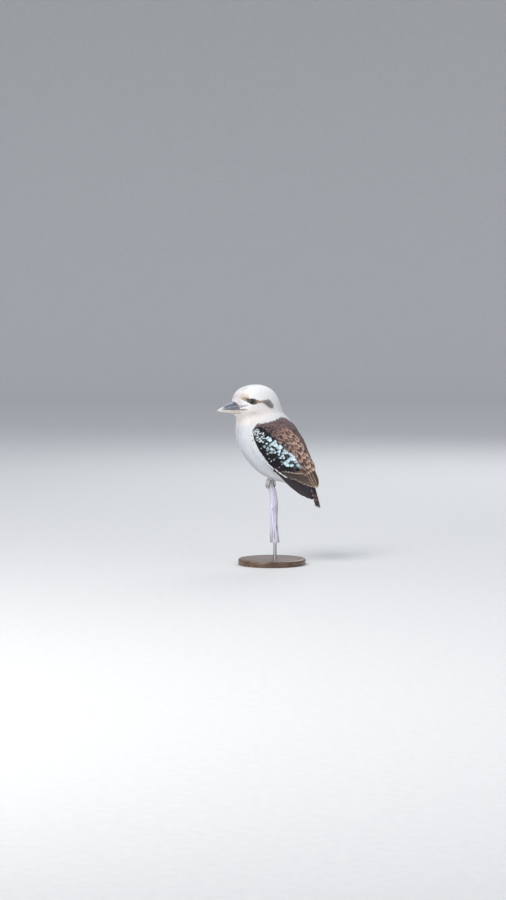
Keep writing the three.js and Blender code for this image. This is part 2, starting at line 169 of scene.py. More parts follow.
def wing(u, v, side, inset=0.0):
    """The wing's outer surface, or a surface under it by inset."""
    u, v, inset = np.broadcast_arrays(np.asarray(u, float), np.asarray(v, float), np.asarray(inset, float))
    vc, uc = np.clip(v, 0, 1), np.clip(u, 0, 1)
    flat = wing_flat(u, vc)
    x, z = flat[..., 0], flat[..., 1]
    out = along(WING_OUT, uc * (len(WING_OUT) - 1))[..., 0]
    ridge = 5 + 16 * (1 - smooth(0, 0.5, uc))
    free = ridge + (out - ridge) * np.sqrt(np.clip(1 - vc**2.4, 0, 1))
    lift = (2.4 + 4.2 * np.sin(np.pi * np.clip(vc * 0.86 + 0.07, 0, 1))) * smooth(-0.06, 0.12, uc)
    bod = side_of(x, z, lift)
    m = 5.0
    h = np.clip(0.5 + (bod - free) / (2 * m), 0, 1)
    y = np.maximum(bod * h + free * (1 - h) + m * h * (1 - h), 3.0) - inset
    # past the edges the surface runs on straight
    over = np.stack([wing_flat(u, v)[..., 0], side * y, wing_flat(u, v)[..., 1]], -1)
    return turned(over)


def wing_frame(u, v, side):
    """Point, direction along u, direction along v and outward normal, with the lengths of a unit of u and of v."""
    e = 0.004
    u, v = np.clip(u, e, 1 - e), np.clip(v, e, 1 - e)
    p = wing(u, v, side)
    du = (wing(u + e, v, side) - wing(u - e, v, side)) / (2 * e)
    dv = (wing(u, v + e, side) - wing(u, v - e, side)) / (2 * e)
    n = np.cross(du, dv) * -side
    n /= np.linalg.norm(n, axis=-1, keepdims=True) + 1e-9
    lu, lv = np.linalg.norm(du, axis=-1), np.linalg.norm(dv, axis=-1)
    return p, du, dv, n, lu, lv


def body_frame(t, a):
    e = 0.02
    t = np.clip(t, e, T_END - e)
    p = body(t, a)
    dt = (body(t + e, a) - body(t - e, a)) / (2 * e)
    da = (body(t, a + e) - body(t, a - e)) / (2 * e)
    n = np.cross(da, dt)
    n /= np.linalg.norm(n, axis=-1, keepdims=True) + 1e-9
    return p, dt, da, n


def unit(v):
    return v / (np.linalg.norm(v, axis=-1, keepdims=True) + 1e-9)


# ---------------------------------------------------------------- making meshes
def make_mesh(name, verts, faces, sharp=None):
    """A smooth-shaded mesh from vertices in millimetres and arrays of triangles or quads."""
    me = bpy.data.meshes.new(name)
    verts = (np.asarray(verts, float).reshape(-1, 3) * MM).astype(np.float32)
    faces = [np.asarray(f, np.int32) for f in faces if len(f)]
    me.vertices.add(len(verts))
    me.vertices.foreach_set("co", verts.ravel())
    loops = np.concatenate([f.ravel() for f in faces])
    sizes = np.concatenate([np.full(len(f), f.shape[1]) for f in faces])
    me.loops.add(len(loops))
    me.loops.foreach_set("vertex_index", loops)
    me.polygons.add(len(sizes))
    me.polygons.foreach_set("loop_start", np.concatenate([[0], np.cumsum(sizes)[:-1]]).astype(np.int32))
    me.polygons.foreach_set("use_smooth", np.ones(len(sizes), bool))
    me.update(calc_edges=True)
    if sharp:
        me.set_sharp_from_angle(angle=math.radians(sharp))
    ob = bpy.data.objects.new(name, me)
    scene.collection.objects.link(ob)
    return ob


def put_colour(ob, rgb, name="Col"):
    rgb = np.clip(np.asarray(rgb, float).reshape(-1, 3), 0, 1)
    at = ob.data.color_attributes.new(name, "FLOAT_COLOR", "POINT")
    at.data.foreach_set("color", np.concatenate([rgb, np.ones((len(rgb), 1))], 1).astype(np.float32).ravel())


def put_vector(ob, vec, name):
    at = ob.data.attributes.new(name, "FLOAT_VECTOR", "POINT")
    at.data.foreach_set("vector", np.asarray(vec, np.float32).reshape(-1, 3).ravel())


def put_uv(ob, uv):
    me = ob.data
    index = np.empty(len(me.loops), np.int32)
    me.loops.foreach_get("vertex_index", index)
    layer = me.uv_layers.new(name="OFBake")
    layer.data.foreach_set("uv", np.asarray(uv, np.float32).reshape(-1, 2)[index].ravel())


def grid_faces(rows, cols, closed=True, start=0, flip=False):
    """Quads of a grid of rows by cols vertices. closed joins the last column to the first."""
    i, j = np.meshgrid(np.arange(rows - 1), np.arange(cols if closed else cols - 1), indexing="ij")
    a, b = i * cols + j, i * cols + (j + 1) % cols
    f = np.stack([a, b, b + cols, a + cols], -1).reshape(-1, 4) + start
    return f[:, ::-1] if flip else f


def tube(points, radii, sides=24, step=0.6, bumps=None, squash=None):
    """A closed tube with round ends along a smooth curve through points, in millimetres."""
    points, radii = np.asarray(points, float), np.asarray(radii, float)
    n = len(points) - 1
    length = np.linalg.norm(np.diff(points, axis=0), axis=1).sum()
    t = np.linspace(0, n, max(8, int(length / step)))
    c, r = along(points, t), along(radii, t)[:, 0]
    arc = np.concatenate([[0], np.cumsum(np.linalg.norm(np.diff(c, axis=0), axis=1))])
    d = unit(np.gradient(c, axis=0))
    side = np.array([0.0, 1.0, 0.0])
    frames = []
    for k in range(len(c)):
        side = side - d[k] * (side @ d[k])
        side = side / np.linalg.norm(side)
        frames.append((side, np.cross(d[k], side)))
    e1, e2 = np.array([f[0] for f in frames]), np.array([f[1] for f in frames])
    a = np.arange(sides) * 2 * np.pi / sides
    rr = r[:, None] * (1 + (bumps(arc[:, None], a[None]) if bumps else 0 * a[None]))
    ring = c[:, None] + rr[..., None] * (e1[:, None] * np.cos(a)[None, :, None] + e2[:, None] * np.sin(a)[None, :, None] * (squash or 1))
    # round both ends off with three smaller rings and a point
    rows = []
    for q in (0.0, 0.35, 0.65, 0.88):
        rows.append(c[0] - d[0] * r[0] * math.cos(q * math.pi / 2) + (ring[0] - c[0]) * math.sin(q * math.pi / 2))
    rows += list(ring)
    for q in (0.88, 0.65, 0.35, 0.0):
        rows.append(c[-1] + d[-1] * r[-1] * math.cos(q * math.pi / 2) + (ring[-1] - c[-1]) * math.sin(q * math.pi / 2))
    v = np.array(rows)
    first, last = v[0].mean(0), v[-1].mean(0)
    body_rows = v[1:-1]
    nr = len(body_rows)
    verts = np.concatenate([body_rows.reshape(-1, 3), [first, last]])
    j = np.arange(sides)
    caps = np.concatenate([
        np.stack([np.full(sides, nr * sides), (j + 1) % sides, j], -1),
        np.stack([np.full(sides, nr * sides + 1), (nr - 1) * sides + j, (nr - 1) * sides + (j + 1) % sides], -1),
    ])
    return verts, grid_faces(nr, sides), caps


def lattice(p, seed=0):
    """A fixed pseudo-random number from 0 to 1 for each whole-numbered place."""
    p = p.astype(np.int64)
    h = (p[..., 0] * 73856093) ^ (p[..., 1] * 19349663) ^ (p[..., 2] * 83492791) ^ (seed * 2654435761)
    h = (h ^ (h >> 13)) * 1274126177 & 0x7FFFFFFF
    return ((h ^ (h >> 16)) & 0xFFFFF) / float(0xFFFFF)


def noise(p, size, seed=0):
    """Smooth noise from -1 to 1 whose lumps are about size apart."""
    q = np.asarray(p, float) / size
    i = np.floor(q)
    f = q - i
    f = f * f * (3 - 2 * f)
    out = 0
    for dx in (0, 1):
        for dy in (0, 1):
            for dz in (0, 1):
                w = (f[..., 0] if dx else 1 - f[..., 0]) * (f[..., 1] if dy else 1 - f[..., 1]) * (f[..., 2] if dz else 1 - f[..., 2])
                out = out + w * lattice(i + np.array([dx, dy, dz]), seed)
    return out * 2 - 1


def mix(a, b, f):
    a, b = np.asarray(a, float), np.asarray(b, float)
    return a + (b - a) * np.asarray(f)[..., None]


# ---------------------------------------------------------------- markings
WHITE = (0.875, 0.87, 0.855)
CREAM = (0.95, 0.885, 0.835)
# the breast's colour below is white plumage darkened and tinted blue: painted cool shade
BREAST_IN_PAINTED_SHADE = (0.68, 0.705, 0.755)
BELLY = (0.83, 0.84, 0.85)
MASK = (0.090, 0.068, 0.066)
MASK_BROWN = (0.36, 0.255, 0.19)
EAR = (0.225, 0.207, 0.207)
LORE = (0.60, 0.48, 0.37)
BACK_TOP = (0.124, 0.084, 0.090)
RUFOUS = (0.225, 0.135, 0.110)
BUFF = (0.76, 0.54, 0.45)
BLACK = (0.010, 0.010, 0.013)
SLATE = (0.024, 0.021, 0.026)
OLIVE = (0.055, 0.042, 0.039)
AZURE = (0.32, 0.475, 0.54)
PALE_AZURE = (0.62, 0.71, 0.745)
SPOT = (0.50, 0.53, 0.565)

MASK_Q = [-17, -13, -8, -2, 5, 13, 21, 29, 34, 40, 46, 53, 59, 64]
MASK_Z = [366, 369.0, 371.8, 374.2, 376.0, 377.4, 377.5, 377.9, 378.2, 378.6, 380.0, 383.4, 386.4, 388.5]
MASK_H = [2.5, 7.5, 10.6, 9.8, 6.8, 3.2, 2.9, 4.6, 6.6, 7.2, 6.2, 4.6, 3.6, 1.5]


def head_colour(p):
    """Plumage of the head and neck at points given in millimetres."""
    q, y, z = head_frame(p)
    s = np.abs(y)
    out = np.broadcast_to(np.array(WHITE), p.shape).copy()
    wob = noise(p, 5.0, 3)
    strands = noise(p * np.array([0.45, 1.0, 1.0]), 2.0, 13)
    # cheek and throat are a touch warmer, the forehead faintly pink
    out = mix(out, CREAM, 0.9 * smooth(376, 362, z) * smooth(-25, 10, q))
    out = mix(out, (0.60, 0.53, 0.535), 0.80 * smooth(48, 60, q) * smooth(383, 389, z))
    out = mix(out, (0.66, 0.57, 0.60), 0.75 * smooth(57, 64, q) * smooth(367, 373, z))
    # grey-brown streaks over the front of the crown, fading backwards
    streak = smooth(0.1, 0.6, noise(p * np.array([0.35, 1.0, 1.0]), 2.6, 8) * 0.6 + 0.35)
    front = smooth(30, 38, q) * smooth(57, 50, q) * smooth(395, 402, z) * smooth(17, 7, s)
    out = mix(out, (0.46, 0.41, 0.385), 0.70 * front * (0.45 + 0.55 * streak))
    rear = smooth(-38, -20, q) * smooth(36, 24, q) * smooth(400, 408, z) * smooth(17, 8, s)
    out = mix(out, (0.50, 0.44, 0.40), 0.34 * rear * streak)
    # warm patch above the lores
    lore = smooth(42, 49, q) * smooth(61, 56, q) * smooth(382, 386, z) * smooth(404, 391, z) * smooth(7, 14, s)
    out = mix(out, (0.64, 0.49, 0.36), 0.82 * lore * (0.8 + 0.25 * wob))
    under = (1 - smooth(0.5, 1.0, np.hypot((q - 22) / 11.0, (z - 369.5) / 3.2))) * smooth(0.0, 0.5, strands)
    out = mix(out, (0.62, 0.50, 0.40), 0.5 * under)
    # mask from the lores through the eye to the ear coverts
    zc, hh = np.interp(q, MASK_Q, MASK_Z), np.interp(q, MASK_Q, MASK_H, left=0, right=0)
    d = np.abs(z - zc) / np.maximum(hh, 0.3) + 0.10 * wob + 0.13 * strands
    on = (1 - smooth(0.76, 1.16, d)) * smooth(8.5, 15, s + 1.2 * strands) * (hh > 0.3)
    shade = mix(EAR, MASK_BROWN, smooth(12, 18, q))
    shade = mix(shade, MASK, smooth(28, 33, q))
    shade = mix(shade, MASK_BROWN, smooth(49.0, 54.5, q))
    shade = mix(shade, LORE, smooth(53, 59, q))
    shade = mix(shade, MASK_BROWN, 0.8 * smooth(16, 6, q) * smooth(0.1, 0.9, (z - zc) / np.maximum(hh, 1)) * smooth(-8, 2, q))
    shade = shade * (1 + 0.20 * noise(p * np.array([0.5, 1, 1]), 3.0, 5)[..., None])
    shade = mix(shade, (0.46, 0.43, 0.42), 0.55 * smooth(0.2, 0.8, strands) * smooth(12, 4, q))
    out = mix(out, shade, on)
    # dark corner of the mouth: painted shade under the gape and bill
    mouth_corner_shade = 1 - smooth(0.45, 1.10, np.hypot((q - 58.5) / 10.5, (z - 360.2) / 2.6) + 0.10 * strands)
    out = mix(out, (0.21, 0.185, 0.20), 0.80 * mouth_corner_shade)
    faint = (1 - smooth(0.8, 2.0, np.abs(z - 352.5 - 0.05 * (q - 38)))) * smooth(28, 33, q) * smooth(48, 43, q)
    return mix(out, (0.62, 0.60, 0.60), 0.42 * faint)


# where the dark back begins, as section number against the angle from the middle of the back, in degrees
BACK_EDGE = ([0, 15, 23, 35, 42, 55, 73, 79, 94, 105, 109, 118], [13.5, 13.4, 13.2, 12.5, 12.1, 11.9, 11.8, 11.85, 11.7, 11.5, 12.8, 16.0])


def dark_back(t, a, p):
    """1 on the dark plumage of the back, 0 on the pale front."""
    off = np.degrees(np.abs((a % (2 * np.pi)) - np.pi))
    edge = np.interp(off, *BACK_EDGE)
    t = t + 0.16 * noise(p, 4.0, 11)
    on = smooth(-0.12, 0.16, t - edge)
    return on * (1 - smooth(84, 100, off + 5 * noise(p, 5.0, 12)) * smooth(12.6, 14.5, t)) * (1 - smooth(106, 110, off))


def body_colour(t, a, p):
    """Plumage of the head, neck and trunk."""
    off = np.degrees(np.abs((a % (2 * np.pi)) - np.pi))
    head = head_colour(p)
    # the breast's colour carries painted cool shade, the belly's is plain
    front = mix(BREAST_IN_PAINTED_SHADE, BELLY, smooth(16, 20.5, t))
    front = mix(front, (0.80, 0.80, 0.80), 0.8 * smooth(140, 100, off) * smooth(17, 14, t))
    # faint bars on the sides and under the tail
    bars = smooth(0.35, 0.8, noise(p * np.array([1, 0.6, 1.6]), 4.2, 21))
    front = mix(front, (0.56, 0.50, 0.45), 0.20 * bars * smooth(150, 118, off) * smooth(14, 16, t))
    out = mix(head, front, smooth(9.0, 12.8, t + 0.4 * noise(p, 8, 4)))
    back = mix(BACK_TOP, RUFOUS, smooth(14.2, 17.5, t) * 0.85)
    return mix(out, back, dark_back(t, a, p))


# ---------------------------------------------------------------- feathers
def chart(kind):
    """Surface and frame functions of the body or of one wing, in the same form."""
    if kind in ("bill_top", "bill_under"):
        def point_at(x, y):
            return bill_point(x, y, kind == "bill_top")

        def frame_at(x, y):
            p = point_at(x, y)
            e1 = (point_at(x + 0.02, y) - point_at(x - 0.02, y)) / 0.04
            e2 = (point_at(x, y + 0.02) - point_at(x, y - 0.02)) / 0.04
            n = unit(np.cross(e1, e2))
            return p, e1, e2, n * np.sign((n * (p - bill_point(x, np.pi / 2, kind == "bill_top", 0.0))).sum(-1, keepdims=True))
    elif kind == "body":
        def frame_at(x, y):
            return body_frame(x, y)

        def point_at(x, y):
            return body(np.clip(x, 0.02, T_END - 0.02), y)
    else:
        side = kind

        def frame_at(x, y):
            return wing_frame(x, y, side)[:4]

        def point_at(x, y):
            return wing(x, y, side)
    return frame_at, point_at


def components(e1, e2, d):
    """Steps in the two surface coordinates that make the direction d."""
    g11, g12, g22 = (e1 * e1).sum(-1), (e1 * e2).sum(-1), (e2 * e2).sum(-1)
    b1, b2 = (e1 * d).sum(-1), (e2 * d).sum(-1)
    det = g11 * g22 - g12 * g12 + 1e-9
    return (b1 * g22 - b2 * g12) / det, (b2 * g11 - b1 * g12) / det


def bill_point(t, a, upper, share=1.0):
    """The bill's surface at station t and arc angle a, 0 and pi at its cutting edges. share 0 is its middle line."""
    t, a = np.broadcast_arrays(np.asarray(t, float), np.asarray(a, float))
    q, top, edge, keel, w = np.moveaxis(along(BILL, np.clip(t, 0, len(BILL) - 1)), -1, 0)
    tall = (top if upper else keel) - edge
    return on_head(q, share * np.cos(a) * w, edge + share * np.maximum(np.sin(a), 0) ** 0.85 * tall + (1 - share) * 0.3 * tall)


class Coat:
    """Thin feathers, each one closed solid, gathered into one mesh."""

    def __init__(self, name):
        self.name = name
        self.verts, self.quads, self.tris, self.cols, self.vanes, self.uvs = [], [], [], [], [], []
        self.count = 0
        self.feathers = 0

    def add(self, top, nrm, thick, colour, vane, uv, full=False):
        n, nr, nc, _ = top.shape
        mid = nc // 2
        kept = list(range(1, nc - 1)) if full else [mid]
        under = top[:, :, kept] - nrm[:, :, kept] * thick[:, :, None, None]
        nb = len(kept)
        per = nr * nc + nr * nb
        self.verts.append(np.concatenate([top.reshape(n, nr * nc, 3), under.reshape(n, nr * nb, 3)], 1).reshape(-1, 3))
        # the underside is a tenth darker: painted shade under each feather
        shade = colour[:, :, kept] * 0.9
        self.cols.append(np.concatenate([colour.reshape(n, nr * nc, 3), shade.reshape(n, nr * nb, 3)], 1).reshape(-1, 3))
        self.vanes.append(np.concatenate([vane.reshape(n, nr * nc, 3), vane[:, :, kept].reshape(n, nr * nb, 3)], 1).reshape(-1, 3))
        self.uvs.append(np.concatenate([uv.reshape(n, nr * nc, 2), uv[:, :, kept].reshape(n, nr * nb, 2)], 1).reshape(-1, 2))

        def t(i, j):
            return i * nc + j

        def b(i, k):  # k counts the kept columns with the two edges
            return t(i, 0) if k == 0 else t(i, nc - 1) if k == nb + 1 else nr * nc + i * nb + (k - 1)

        quads = [[t(i, j), t(i + 1, j), t(i + 1, j + 1), t(i, j + 1)] for i in range(nr - 1) for j in range(nc - 1)]
        quads += [[b(i, k), b(i, k + 1), b(i + 1, k + 1), b(i + 1, k)] for i in range(nr - 1) for k in range(nb + 1)]
        tris = []
        for i, turn in ((0, False), (nr - 1, True)):
            if full:
                for j in range(nc - 1):
                    ring = [t(i, j), t(i, j + 1), b(i, j + 1), b(i, j)]
                    ring = [x for k, x in enumerate(ring) if x not in ring[:k]]
                    ring = ring[::-1] if turn else ring
                    (quads if len(ring) == 4 else tris).append(ring)
            else:
                for j in range(nc - 1):
                    ring = [t(i, j), t(i, j + 1), b(i, 1)]
                    tris.append(ring[::-1] if turn else ring)
        base = self.count + np.arange(n)[:, None, None] * per
        self.quads.append((base + np.array(quads)[None]).reshape(-1, 4))
        self.tris.append((base + np.array(tris)[None]).reshape(-1, 3))
        self.count += n * per
        self.feathers += n

    def triangles(self):
        return 2 * sum(len(q) for q in self.quads) + sum(len(q) for q in self.tris)

    def make(self, material, slot, sharp=50):
        ob = make_mesh(self.name, np.concatenate(self.verts), [np.concatenate(self.quads), np.concatenate(self.tris)], sharp)
        put_colour(ob, np.concatenate(self.cols))
        put_vector(ob, np.concatenate(self.vanes), "vane")
        put_uv(ob, np.concatenate(self.uvs))
        ob.data.materials.append(material)
        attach(ob, "root")
        print(f"{self.name}: {self.feathers} feathers, {self.triangles()} triangles")
        return ob


def map_place(kind, x, y):
    """Where a root lies on the flat map of the coat."""
    if kind == "body":
        return np.stack([0.02 + 0.96 * ((y / (2 * np.pi)) % 1), 0.02 + 0.60 * np.clip(x / T_END, 0, 1)], -1)
    if isinstance(kind, str):  # the root of the bill
        return np.stack([(0.05 if kind == "bill_top" else 0.55) + 0.40 * y / np.pi, 0.70 + 0.2 * np.clip(x / 4, 0, 1)], -1)
    return np.stack([(0.03 if kind < 0 else 0.52) + 0.45 * np.clip(x, 0, 1), 0.66 + 0.31 * np.clip(y, 0, 1)], -1)


def lay(coat, kind, x, y, d3, length, width, colour, rows, cols, outline, depth, lift, thick=0.28, droop=0.10, power=2.0,
        tip=None, to=None, bend=0.0, tilt=0.0, full=False, ragged=0.03, cell=None, curl=None):
    """Lays feathers over a surface.

    x, y: the roots on that surface. d3: their directions. outline(s): half width along the feather as a share.
    depth: how deep the roots lie; lift: how far the tips stand off. to: surface coordinates of the tips, for long
    feathers. colour(s, w, p, i): the colours. tilt: how far the edge at w = 1 lies lower than the other.
    """
    frame_at, point_at = chart(kind)
    n = len(x)
    full_n = np.ones(n)
    length, width, depth, lift, bend, tilt = (np.asarray(k, float) * full_n for k in (length, width, depth, lift, bend, tilt))
    S = np.asarray(rows, float)
    Wc = np.asarray(cols, float)
    nr, nc = len(S), len(Wc)
    cx, cy = np.array(x, float), np.array(y, float)
    root = map_place(kind, cx, cy)
    p, e1, e2, nn = frame_at(cx, cy)
    if to is not None:
        tx, ty = np.asarray(to[0], float), np.asarray(to[1], float)
        d3 = unit(e1 * (tx - cx)[:, None] + e2 * (ty - cy)[:, None])
    d = unit(d3 - nn * (d3 * nn).sum(-1, keepdims=True))
    X, Y, D = np.empty((n, nr, nc)), np.empty((n, nr, nc)), np.empty((n, nr, 3))
    for i in range(nr):
        if to is not None:
            arch = bend * np.sin(np.pi * S[i])
            cx, cy = x + (tx - x) * S[i], y + (ty - y) * S[i] + arch
        elif i:
            step = (S[i] - S[i - 1]) * length
            c0, c1 = components(e1, e2, d)
            cx, cy = cx + np.clip(c0 * step, -2.5, 2.5), cy + np.clip(c1 * step, -1, 1)
        p, e1, e2, nn = frame_at(cx, cy)
        if to is not None:
            d3 = unit(e1 * (tx - x)[:, None] + e2 * (ty - y + bend * np.pi * np.cos(np.pi * S[i]))[:, None])
            d = unit(d3 - nn * (d3 * nn).sum(-1, keepdims=True))
        else:
            d = unit(d - nn * (d * nn).sum(-1, keepdims=True))
        b = np.cross(nn, d)
        c0, c1 = components(e1, e2, b)
        off = outline(S[i]) * width[:, None] / 2 * Wc[None]
        X[:, i], Y[:, i] = cx[:, None] + c0[:, None] * off, cy[:, None] + c1[:, None] * off
        D[:, i] = d
    P = point_at(X, Y)
    N = frame_at(X, Y)[3]
    rise = 1 - (1 - S) ** power
    H = -depth[:, None] + (depth + lift)[:, None] * rise[None]
    if curl is not None:
        H = H + np.asarray(curl, float)[:, None] * (S**3)[None]
    H = H[..., None] - (droop * width[:, None] * outline(S)[None])[..., None] * Wc[None, None] ** 2
    H = H - tilt[:, None, None] * Wc[None, None] * np.ones((1, nr, 1))
    top = P + N * H[..., None]
    # tips: ragged, with the barbs of the last rows at uneven lengths
    shape = np.zeros(nc) if tip is None else np.asarray(tip, float)
    out = shape[None] + RNG.normal(0, 1, (n, nc)) * ragged
    top[:, -1] += D[:, -1][:, None] * (out * length[:, None])[..., None]
    if nr > 4:
        top[:, -2] += D[:, -2][:, None] * ((0.4 * shape[None] + RNG.normal(0, 1, (n, nc)) * ragged * 0.25) * length[:, None])[..., None]
    s = np.broadcast_to(S[None, :, None], (n, nr, nc))
    w = np.broadcast_to(Wc[None, None], (n, nr, nc))
    col = colour(s, w, top, np.arange(n)[:, None, None])
    barb = s * length[:, None, None] + 0.55 * np.abs(w) * (outline(S)[None, :, None] * width[:, None, None])
    rnd = np.broadcast_to(RNG.random(n)[:, None, None], s.shape)
    if cell is None:
        uv = root[:, None, None] + 0.0015 * np.stack([w, 2 * s - 1], -1)
    else:  # a strip of the map of its own
        k, across, tall = cell[0], cell[1], cell[2]
        cw, ch = 0.96 / across, 0.96 / tall
        ox, oy = 0.02 + (k % across) * cw, 0.02 + (k // across) * ch
        uv = np.stack([ox[:, None, None] + cw * (0.5 + 0.46 * w), oy[:, None, None] + ch * (0.02 + 0.96 * s)], -1)
    th = thick * np.interp(S, [0, 0.1, 0.7, 1], [0.8, 1, 0.8, 0.3])[None] * np.ones((n, 1))
    coat.add(top, N, th, col, np.stack([barb, np.abs(w), rnd], -1), uv, full)
    return top


def scatter(keep, spacing, seed, t_lo=0.05, t_hi=T_END - 0.3):
    """Roots over the body, no nearer to each other than spacing(t, a, p), where keep(t, a, p) is true."""
    rng = np.random.default_rng(seed)
    nt, na = 360, 240
    tt = np.linspace(t_lo, t_hi, nt + 1)
    aa = np.linspace(0, 2 * np.pi, na + 1)
    tm, am = np.meshgrid((tt[1:] + tt[:-1]) / 2, (aa[1:] + aa[:-1]) / 2, indexing="ij")
    p, dt, da, n = body_frame(tm, am)
    area = np.linalg.norm(np.cross(dt, da), axis=-1) * (tt[1] - tt[0]) * (aa[1] - aa[0])
    sp = spacing(tm, am, p)
    weight = np.where(keep(tm, am, p), area / sp**2, 0).ravel()
    total = int(weight.sum() * 4.0)
    if total < 1:
        return np.empty(0), np.empty(0)
    pick = rng.choice(len(weight), size=total, p=weight / weight.sum())
    t = tt[pick // na] + rng.random(total) * (tt[1] - tt[0])
    a = aa[pick % na] + rng.random(total) * (aa[1] - aa[0])
    p = body(t, a)
    sp = spacing(t, a, p)
    ok = keep(t, a, p)
    cell = float(sp[ok].max()) if ok.any() else 1.0
    grid, chosen = {}, []
    keys = np.floor(p / cell).astype(int)
    pl, sl = p.tolist(), sp.tolist()
    near = [(i, j, k) for i in (-1, 0, 1) for j in (-1, 0, 1) for k in (-1, 0, 1)]
    for m in np.nonzero(ok)[0].tolist():
        kx, ky, kz = keys[m]
        x, y, z = pl[m]
        r2 = sl[m] ** 2
        clear = True
        for i, j, k in near:
            for o in grid.get((kx + i, ky + j, kz + k), ()):
                ox, oy, oz = pl[o]
                if (ox - x) ** 2 + (oy - y) ** 2 + (oz - z) ** 2 < r2:
                    clear = False
                    break
            if not clear:
                break
        if clear:
            grid.setdefault((kx, ky, kz), []).append(m)
            chosen.append(m)
    return t[chosen], a[chosen]


def bill_inside(p, margin=0.0):
    """True where a point lies inside the bill."""
    q, y, z = head_frame(p)
    rows = np.clip(np.interp(q, BILL[:, 0], np.arange(len(BILL))), 0, len(BILL) - 1)
    top, edge, keel, half = (np.interp(rows, np.arange(len(BILL)), BILL[:, k]) for k in (1, 2, 3, 4))
    up = np.where(z > edge, (z - edge) / (top - edge + margin), (edge - z) / (edge - keel + margin))
    return (q > 41) & (q < 118) & (up < 1) & (np.abs(y) < (half + margin) * np.sqrt(np.clip(1 - up**2.2, 0, 1)))


EYE_Q, EYE_Y, EYE_Z = EYE_AT
GAPE_Q, GAPE_Z, GAPE_H = [46.5, 49.5, 54, 60, 66], [370.8, 370.2, 369.3, 367.9, 366.8], [0.5, 1.5, 2.5, 3.3, 3.8]


def gape_gap(p):
    """How far above or below the bare edge of the gape a point of the face lies, as a share of its height."""
    q, y, z = head_frame(p)
    return np.where((q > 49.5 + 0.9 * noise(p, 1.5, 14)) & (np.abs(y) > 10), np.abs(z - np.interp(q, GAPE_Q, GAPE_Z)) / np.interp(q, GAPE_Q, GAPE_H), 9.0)


def eye_gap(p):
    """Distance of a point from the axis of the eye on its side, as seen from that side."""
    q, y, z = head_frame(p)
    return np.where(np.abs(y) > 16, np.hypot(q - EYE_Q - 1.2, z - EYE_Z), 99.0)


# points of both wings, to find what they cover
_u, _v = np.meshgrid(np.linspace(0, 1, 90), np.linspace(0, 1, 45), indexing="ij")
wing_tree = KDTree(2 * _u.size)
wing_uv = []
for _side in (-1, 1):
    _p = wing(_u, _v, _side).reshape(-1, 3)
    for _k, _c in enumerate(_p):
        wing_tree.insert(_c, len(wing_uv))
        wing_uv.append((_u.ravel()[_k], _v.ravel()[_k]))
wing_tree.balance()
wing_uv = np.array(wing_uv)
_t, _a = np.meshgrid(np.linspace(10, T_END, 131), np.linspace(0, 2 * np.pi, 181), indexing="ij")
_pp = body(_t, _a).reshape(-1, 3)
_found = [wing_tree.find(c) for c in _pp]
_fi, _fd = np.array([f[1] for f in _found]), np.array([f[2] for f in _found])
_hid = ((wing_uv[_fi, 0] > 0.05) & (wing_uv[_fi, 1] > 0.10) & (wing_uv[_fi, 1] < 0.93) & (_fd < 7.5)).reshape(_t.shape)


def covered(t, a):
    """True where a wing lies on the body."""
    i = np.clip(np.rint((t - 10) / (T_END - 10) * 130).astype(int), 0, 130)
    j = np.clip(np.rint((a % (2 * np.pi)) / (2 * np.pi) * 180).astype(int), 0, 180)
    return _hid[i, j] & (t > 10)


def coat_length(t, a, p):
    """Length of the feathers of head, neck and body, in millimetres."""
    q, y, z = head_frame(p)
    off = np.degrees(np.abs((a % (2 * np.pi)) - np.pi))
    face = np.hypot(np.maximum(0, 66 - q), 0.5 * np.maximum(0, z - 372) + 0.9 * np.maximum(0, 352 - z))
    out = 3.0 + 5.2 * smooth(4, 52, face)
    out = out + 3.2 * smooth(45, 100, face)
    out = np.where(eye_gap(p) < 16, np.minimum(out, 2.7 + 3.3 * smooth(6, 16, eye_gap(p))), out)
    out = out + 4.0 * smooth(9, 13.5, t) + 3.0 * smooth(13, 18, t) * smooth(60, 110, off)
    return out


def flow(t, a):
    """The lie of the coat: backwards over the head and down the body, round the eyes."""
    p, dt, da, n = body_frame(t, a)
    d = unit(dt)
    q, y, z = head_frame(p)
    side = np.where(y < 0, -1.0, 1.0)
    centre = on_head(EYE_Q + 1.2, side * EYE_Y, EYE_Z)
    r = p - centre
    r = unit(r - n * (r * n).sum(-1, keepdims=True))
    gap = eye_gap(p)
    inward = np.minimum(0, (d * r).sum(-1))
    d = d - r * (inward * (1 - smooth(8, 16, gap)) * 1.25)[..., None]
    return p, n, unit(d)


def turn_in_plane(d, n, angle):
    c, s = np.cos(angle)[..., None], np.sin(angle)[..., None]
    return d * c + np.cross(n, d) * s


def soft_outline(s):
    return np.interp(s, [0, 0.15, 0.5, 0.78, 0.93, 1], [0.25, 0.62, 1.0, 0.92, 0.62, 0.34])


def lock_outline(s):
    return np.interp(s, [0, 0.15, 0.40, 0.66, 0.86, 1], [0.40, 0.75, 1.0, 0.86, 0.48, 0.07])


def vane_outline(s):
    return np.interp(s, [0, 0.08, 0.3, 0.68, 0.82, 0.91, 0.965, 1], [0.15, 0.5, 0.9, 1.0, 0.95, 0.80, 0.60, 0.40])


def point_outline(s):
    return np.interp(s, [0, 0.08, 0.3, 0.6, 0.74, 0.84, 0.91, 0.96, 1], [0.15, 0.5, 0.9, 1.0, 0.93, 0.78, 0.60, 0.42, 0.22])


def flight_outline(s):
    return np.interp(s, [0, 0.05, 0.2, 0.8, 0.92, 0.975, 1], [0.2, 0.5, 0.85, 1.0, 0.84, 0.52, 0.22])


